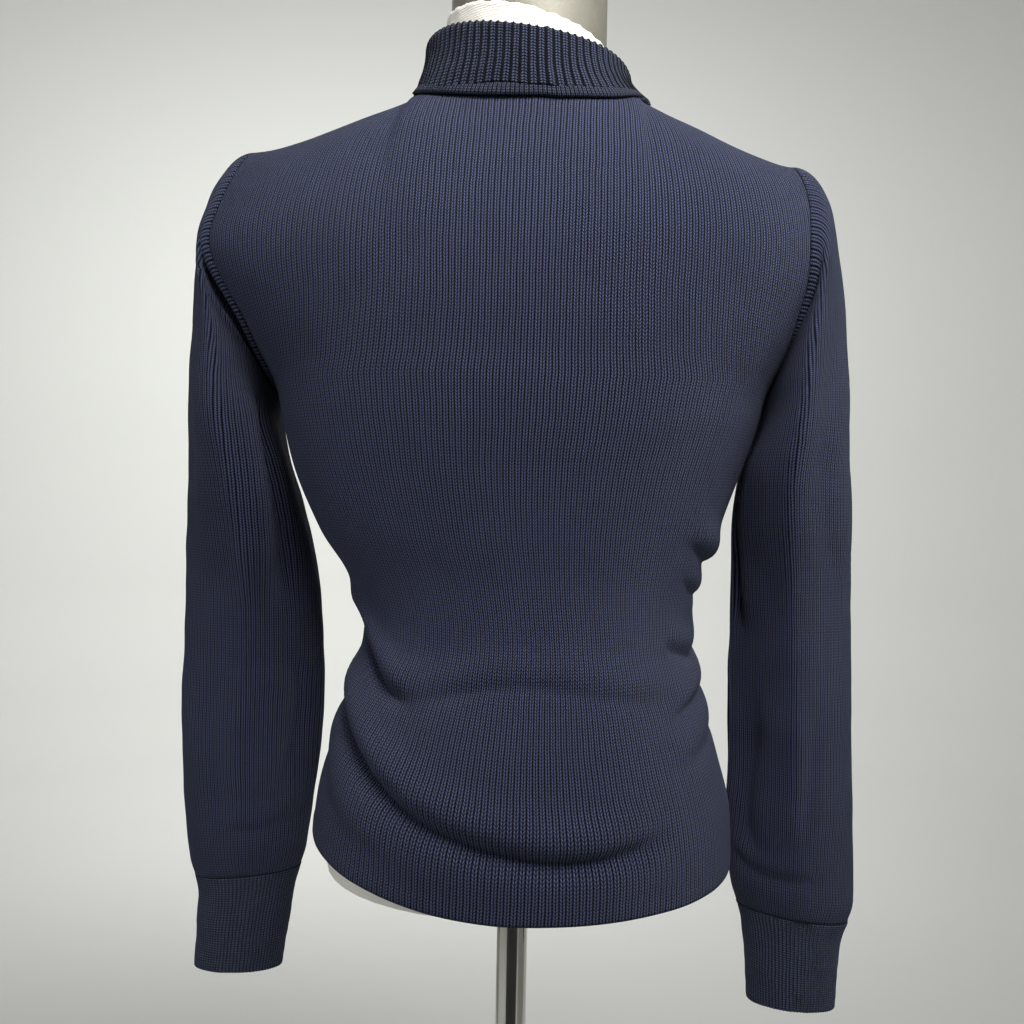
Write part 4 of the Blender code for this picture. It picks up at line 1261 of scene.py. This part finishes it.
class SWEATER_OT_form(bpy.types.Operator):
    """Cover the dress form in jersey and set its metal cap"""

    bl_idname = "sweater.form"
    bl_label = "Dress Form"

    def execute(self, context):
        settings = context.scene.sweater_stand
        jersey = jersey_material("form_jersey", settings.jersey)
        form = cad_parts["dress_form"]
        for slot in form.material_slots:
            slot.material = jersey
        points, stitches = [], []
        for row in range(COVER_ROWS + 1):
            share = row / COVER_ROWS
            ring = []
            for c in range(COVER_COLUMNS + 1):
                turn = 2 * math.pi * (c % COVER_COLUMNS) / COVER_COLUMNS
                height = mix(COVER_FOOT, cover_top(turn), share)
                radius = settings.neck_radius + 0.0005 * noise.noise(Vector((7 * turn, 3 * share, 0)))
                radius += COVER_HEM * smooth((share - COVER_HEM_START) / (1 - COVER_HEM_START))
                ring.append(Vector((radius * math.sin(turn), -radius * math.cos(turn), height)))
            points.append(ring)
            stitches.append([(c, row) for c in range(COVER_COLUMNS + 1)])
        bm, _ = new_grid(COVER_COLUMNS, COVER_ROWS, points, stitches)
        weld(bm)
        turn_faces_out(bm, lambda face: Vector((0, 0, face.calc_center_median().z)))
        cover = add_piece("neck_cover", bm, jersey, thickness=COVER_CLOTH)
        low, high = (corner[2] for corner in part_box("neck_cap"))
        outline = [(0, high), *rounded(low, high, settings.cap_radius, CAP_BEVEL), (0, low)]
        cap = worn_material("cap_metal", settings.cap_paint, CAP_WEAR)
        add_piece("metal_cap", lathe(outline, 96), cap, ["neck_cap"], smooth_angle=TURNED_ANGLE)
        return {"FINISHED"}


class SWEATER_OT_stand(bpy.types.Operator):
    """Set the steel pole and its round base"""

    bl_idname = "sweater.stand"
    bl_label = "Pole and Base"

    def execute(self, context):
        settings = context.scene.sweater_stand
        low, high = (corner[2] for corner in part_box("pole"))
        steel = steel_material("pole_steel", settings.steel)
        outline = [(0, high), *rounded(low, high, settings.pole_radius, POLE_BEVEL, 3), (0, low)]
        add_piece("steel_pole", lathe(outline, 96), steel, ["pole"], smooth_angle=TURNED_ANGLE)
        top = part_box("base")[1][2]
        paint = worn_material("base_paint", settings.base_paint, BASE_WEAR)
        outline = [(0, top - 0.0003), (0.0175, top), (0.0192, top - 0.0006), (0.020, top - 0.0022)]
        outline += [*BASE_OUTLINE, *rounded(0.0, BASE_EDGE_TOP, settings.base_radius, BASE_BEVEL)]
        outline += [(0.12, 0.0), (0, 0.0)]
        add_piece("round_base", lathe(outline, 128), paint, ["base"], smooth_angle=TURNED_ANGLE)
        return {"FINISHED"}


CAMERA_DISTANCE = 0.71
CAMERA_HEIGHT = 0.92
CAMERA_TURN = math.radians(4.5)
CAMERA_ROLL = math.radians(1.1)
CAMERA_LENS = 34.875
CAMERA_SHIFT = -0.0078
MIDDLE = (0.0, 0.0, 0.95)
# Each light's place and target, its size, the setting that gives its power and the share of it that the
# light has, its tint, and the degrees over which it spreads.
LIGHTS = table(
    "name place target size setting share tint spread",
    ("key_light", (0.30, -0.56, 1.66), (0.04, -0.05, 1.17), 0.7, "key_light", 1.0, (1.0, 0.985, 0.96), 95),
    ("side_light", (2.3, -0.7, 1.7), MIDDLE, 1.3, "side_light", 1.0, (1.0, 0.99, 0.97), 180),
    ("fill_light", (-1.9, -1.6, 1.7), MIDDLE, 1.4, "fill_light", 1.0, (0.95, 0.97, 1.0), 180),
    ("back_light", (-0.4, 2.3, 2.5), MIDDLE, 1.6, "fill_light", 0.55, (1.0, 1.0, 1.0), 180),
    (
        "backdrop_light", (-0.5, 1.5, 2.1), (-0.6, 3.8, 1.35), 1.2, "backdrop_light", 1.0,
        (1.0, 1.0, 0.98), 180,
    ),
)
# Studio cards round the stand that only its polished steel reflects: where each starts and ends on the
# floor, and its shade.
CARD_TOP, CARD_FOOT = 0.75, 0.01
CARDS = table(
    "name start end shade",
    ("dark_card", (-0.62, -1.05), (1.00, -1.05), 0.06),
    ("right_card", (1.25, -0.85), (1.40, 0.45), 0.36),
    ("left_card", (-1.25, 0.10), (-1.05, 1.10), 0.34),
)
# Half the round stage from its middle up its rim, as radius and height.
STAGE_OUTLINE = (
    (0.0, 0.0), (1.4, 0.0), (2.4, 0.0), (2.9, 0.04), (3.3, 0.22), (3.6, 0.6), (3.75, 1.2), (3.8, 2.2),
    (3.8, 3.4),
)


def add_light(light, power):
    lamp = bpy.data.lights.new(light.name, "AREA")
    lamp.shape = "DISK"
    lamp.size = light.size
    lamp.spread = math.radians(light.spread)
    lamp.energy = power
    lamp.color = light.tint
    made = bpy.data.objects.new(light.name, lamp)
    made.location = light.place
    made.rotation_euler = (Vector(light.target) - Vector(light.place)).to_track_quat("-Z", "Y").to_euler()
    bpy.context.scene.collection.objects.link(made)


def add_card(card):
    start, end = Vector((*card.start, 0)), Vector((*card.end, 0))
    along = end - start
    bm = bmesh.new()
    bmesh.ops.create_grid(bm, x_segments=1, y_segments=1, size=0.5)
    bmesh.ops.scale(bm, vec=(along.length, CARD_TOP, 1.0), verts=bm.verts)
    for angle, axis in ((RIGHT_ANGLE, "X"), (math.atan2(along.y, along.x), "Z")):
        bmesh.ops.rotate(bm, matrix=Matrix.Rotation(angle, 3, axis), verts=bm.verts)
    middle = start.lerp(end, 0.5) + Vector((0, 0, CARD_TOP / 2 + CARD_FOOT))
    bmesh.ops.translate(bm, vec=middle, verts=bm.verts)
    made = add_object(card.name, bm, stage_material(card.name, (card.shade, card.shade, card.shade * 0.96)))
    made.visible_camera = False
    made.visible_diffuse = False
    made.visible_shadow = False


class SWEATER_OT_stage(bpy.types.Operator):
    """Set the pale stage, the soft lights and the camera"""

    bl_idname = "sweater.stage"
    bl_label = "Stage"

    def execute(self, context):
        settings = context.scene.sweater_stage
        paper = stage_material("stage_paper", settings.backdrop)
        add_object("pale_stage", lathe(STAGE_OUTLINE, 96), paper)
        for card in CARDS:
            add_card(card)
        for light in LIGHTS:
            add_light(light, getattr(settings, light.setting) * light.share)
        world = bpy.data.worlds.new("soft_sky")
        world.use_nodes = True
        sky = world.node_tree.nodes["Background"]
        sky.inputs["Color"].default_value = (1.0, 1.0, 1.0, 1.0)
        sky.inputs["Strength"].default_value = settings.sky
        context.scene.world = world
        context.scene.view_settings.view_transform = "Standard"
        camera = bpy.data.cameras.new("camera")
        camera.lens = CAMERA_LENS
        camera.shift_x = CAMERA_SHIFT
        camera.clip_start = 0.05
        eye = bpy.data.objects.new("camera", camera)
        ahead = Vector((-math.sin(CAMERA_TURN), math.cos(CAMERA_TURN), 0))
        level = Vector((math.cos(CAMERA_TURN), math.sin(CAMERA_TURN), 0))
        right = level * math.cos(CAMERA_ROLL) + Vector((0, 0, math.sin(CAMERA_ROLL)))
        up = right.cross(ahead)
        turn = Matrix((right, up, -ahead)).transposed().to_4x4()
        eye.matrix_world = Matrix.Translation(Vector((0, 0, CAMERA_HEIGHT)) - ahead * CAMERA_DISTANCE) @ turn
        context.scene.collection.objects.link(eye)
        context.scene.camera = eye
        return {"FINISHED"}


class SWEATER_PT_panel(bpy.types.Panel):
    """Sizes, colours and the steps that build the sweater"""

    bl_idname = "SWEATER_PT_panel"
    bl_label = "Sweater on a Dress Form"
    bl_space_type = "VIEW_3D"
    bl_region_type = "UI"
    bl_category = "Sweater"

    def draw(self, context):
        for group in GROUPS:
            settings = getattr(context.scene, group)
            box = self.layout.box()
            for name in settings.bl_rna.properties.keys():
                if name not in ("rna_type", "name"):
                    box.prop(settings, name)
        for step in STEPS:
            self.layout.operator(step.bl_idname)


STEPS = (
    SWEATER_OT_stage,
    SWEATER_OT_panels,
    SWEATER_OT_sleeves,
    SWEATER_OT_cuffs,
    SWEATER_OT_collar,
    SWEATER_OT_seams,
    SWEATER_OT_form,
    SWEATER_OT_stand,
)
GROUPS = {"sweater_knit": KnitSettings, "sweater_stand": StandSettings, "sweater_stage": StageSettings}
CLASSES = (*GROUPS.values(), *STEPS, SWEATER_PT_panel)


def register():
    for cls in CLASSES:
        bpy.utils.register_class(cls)
    for name, group in GROUPS.items():
        setattr(bpy.types.Scene, name, PointerProperty(type=group))


def unregister():
    for name in GROUPS:
        delattr(bpy.types.Scene, name)
    for cls in reversed(CLASSES):
        bpy.utils.unregister_class(cls)


def main():
    register()
    bpy.ops.sweater.stage()
    bpy.ops.sweater.panels()
    bpy.ops.sweater.sleeves()
    bpy.ops.sweater.cuffs()
    bpy.ops.sweater.collar()
    bpy.ops.sweater.seams()
    bpy.ops.sweater.form()
    bpy.ops.sweater.stand()


if __name__ == "__main__":
    main()
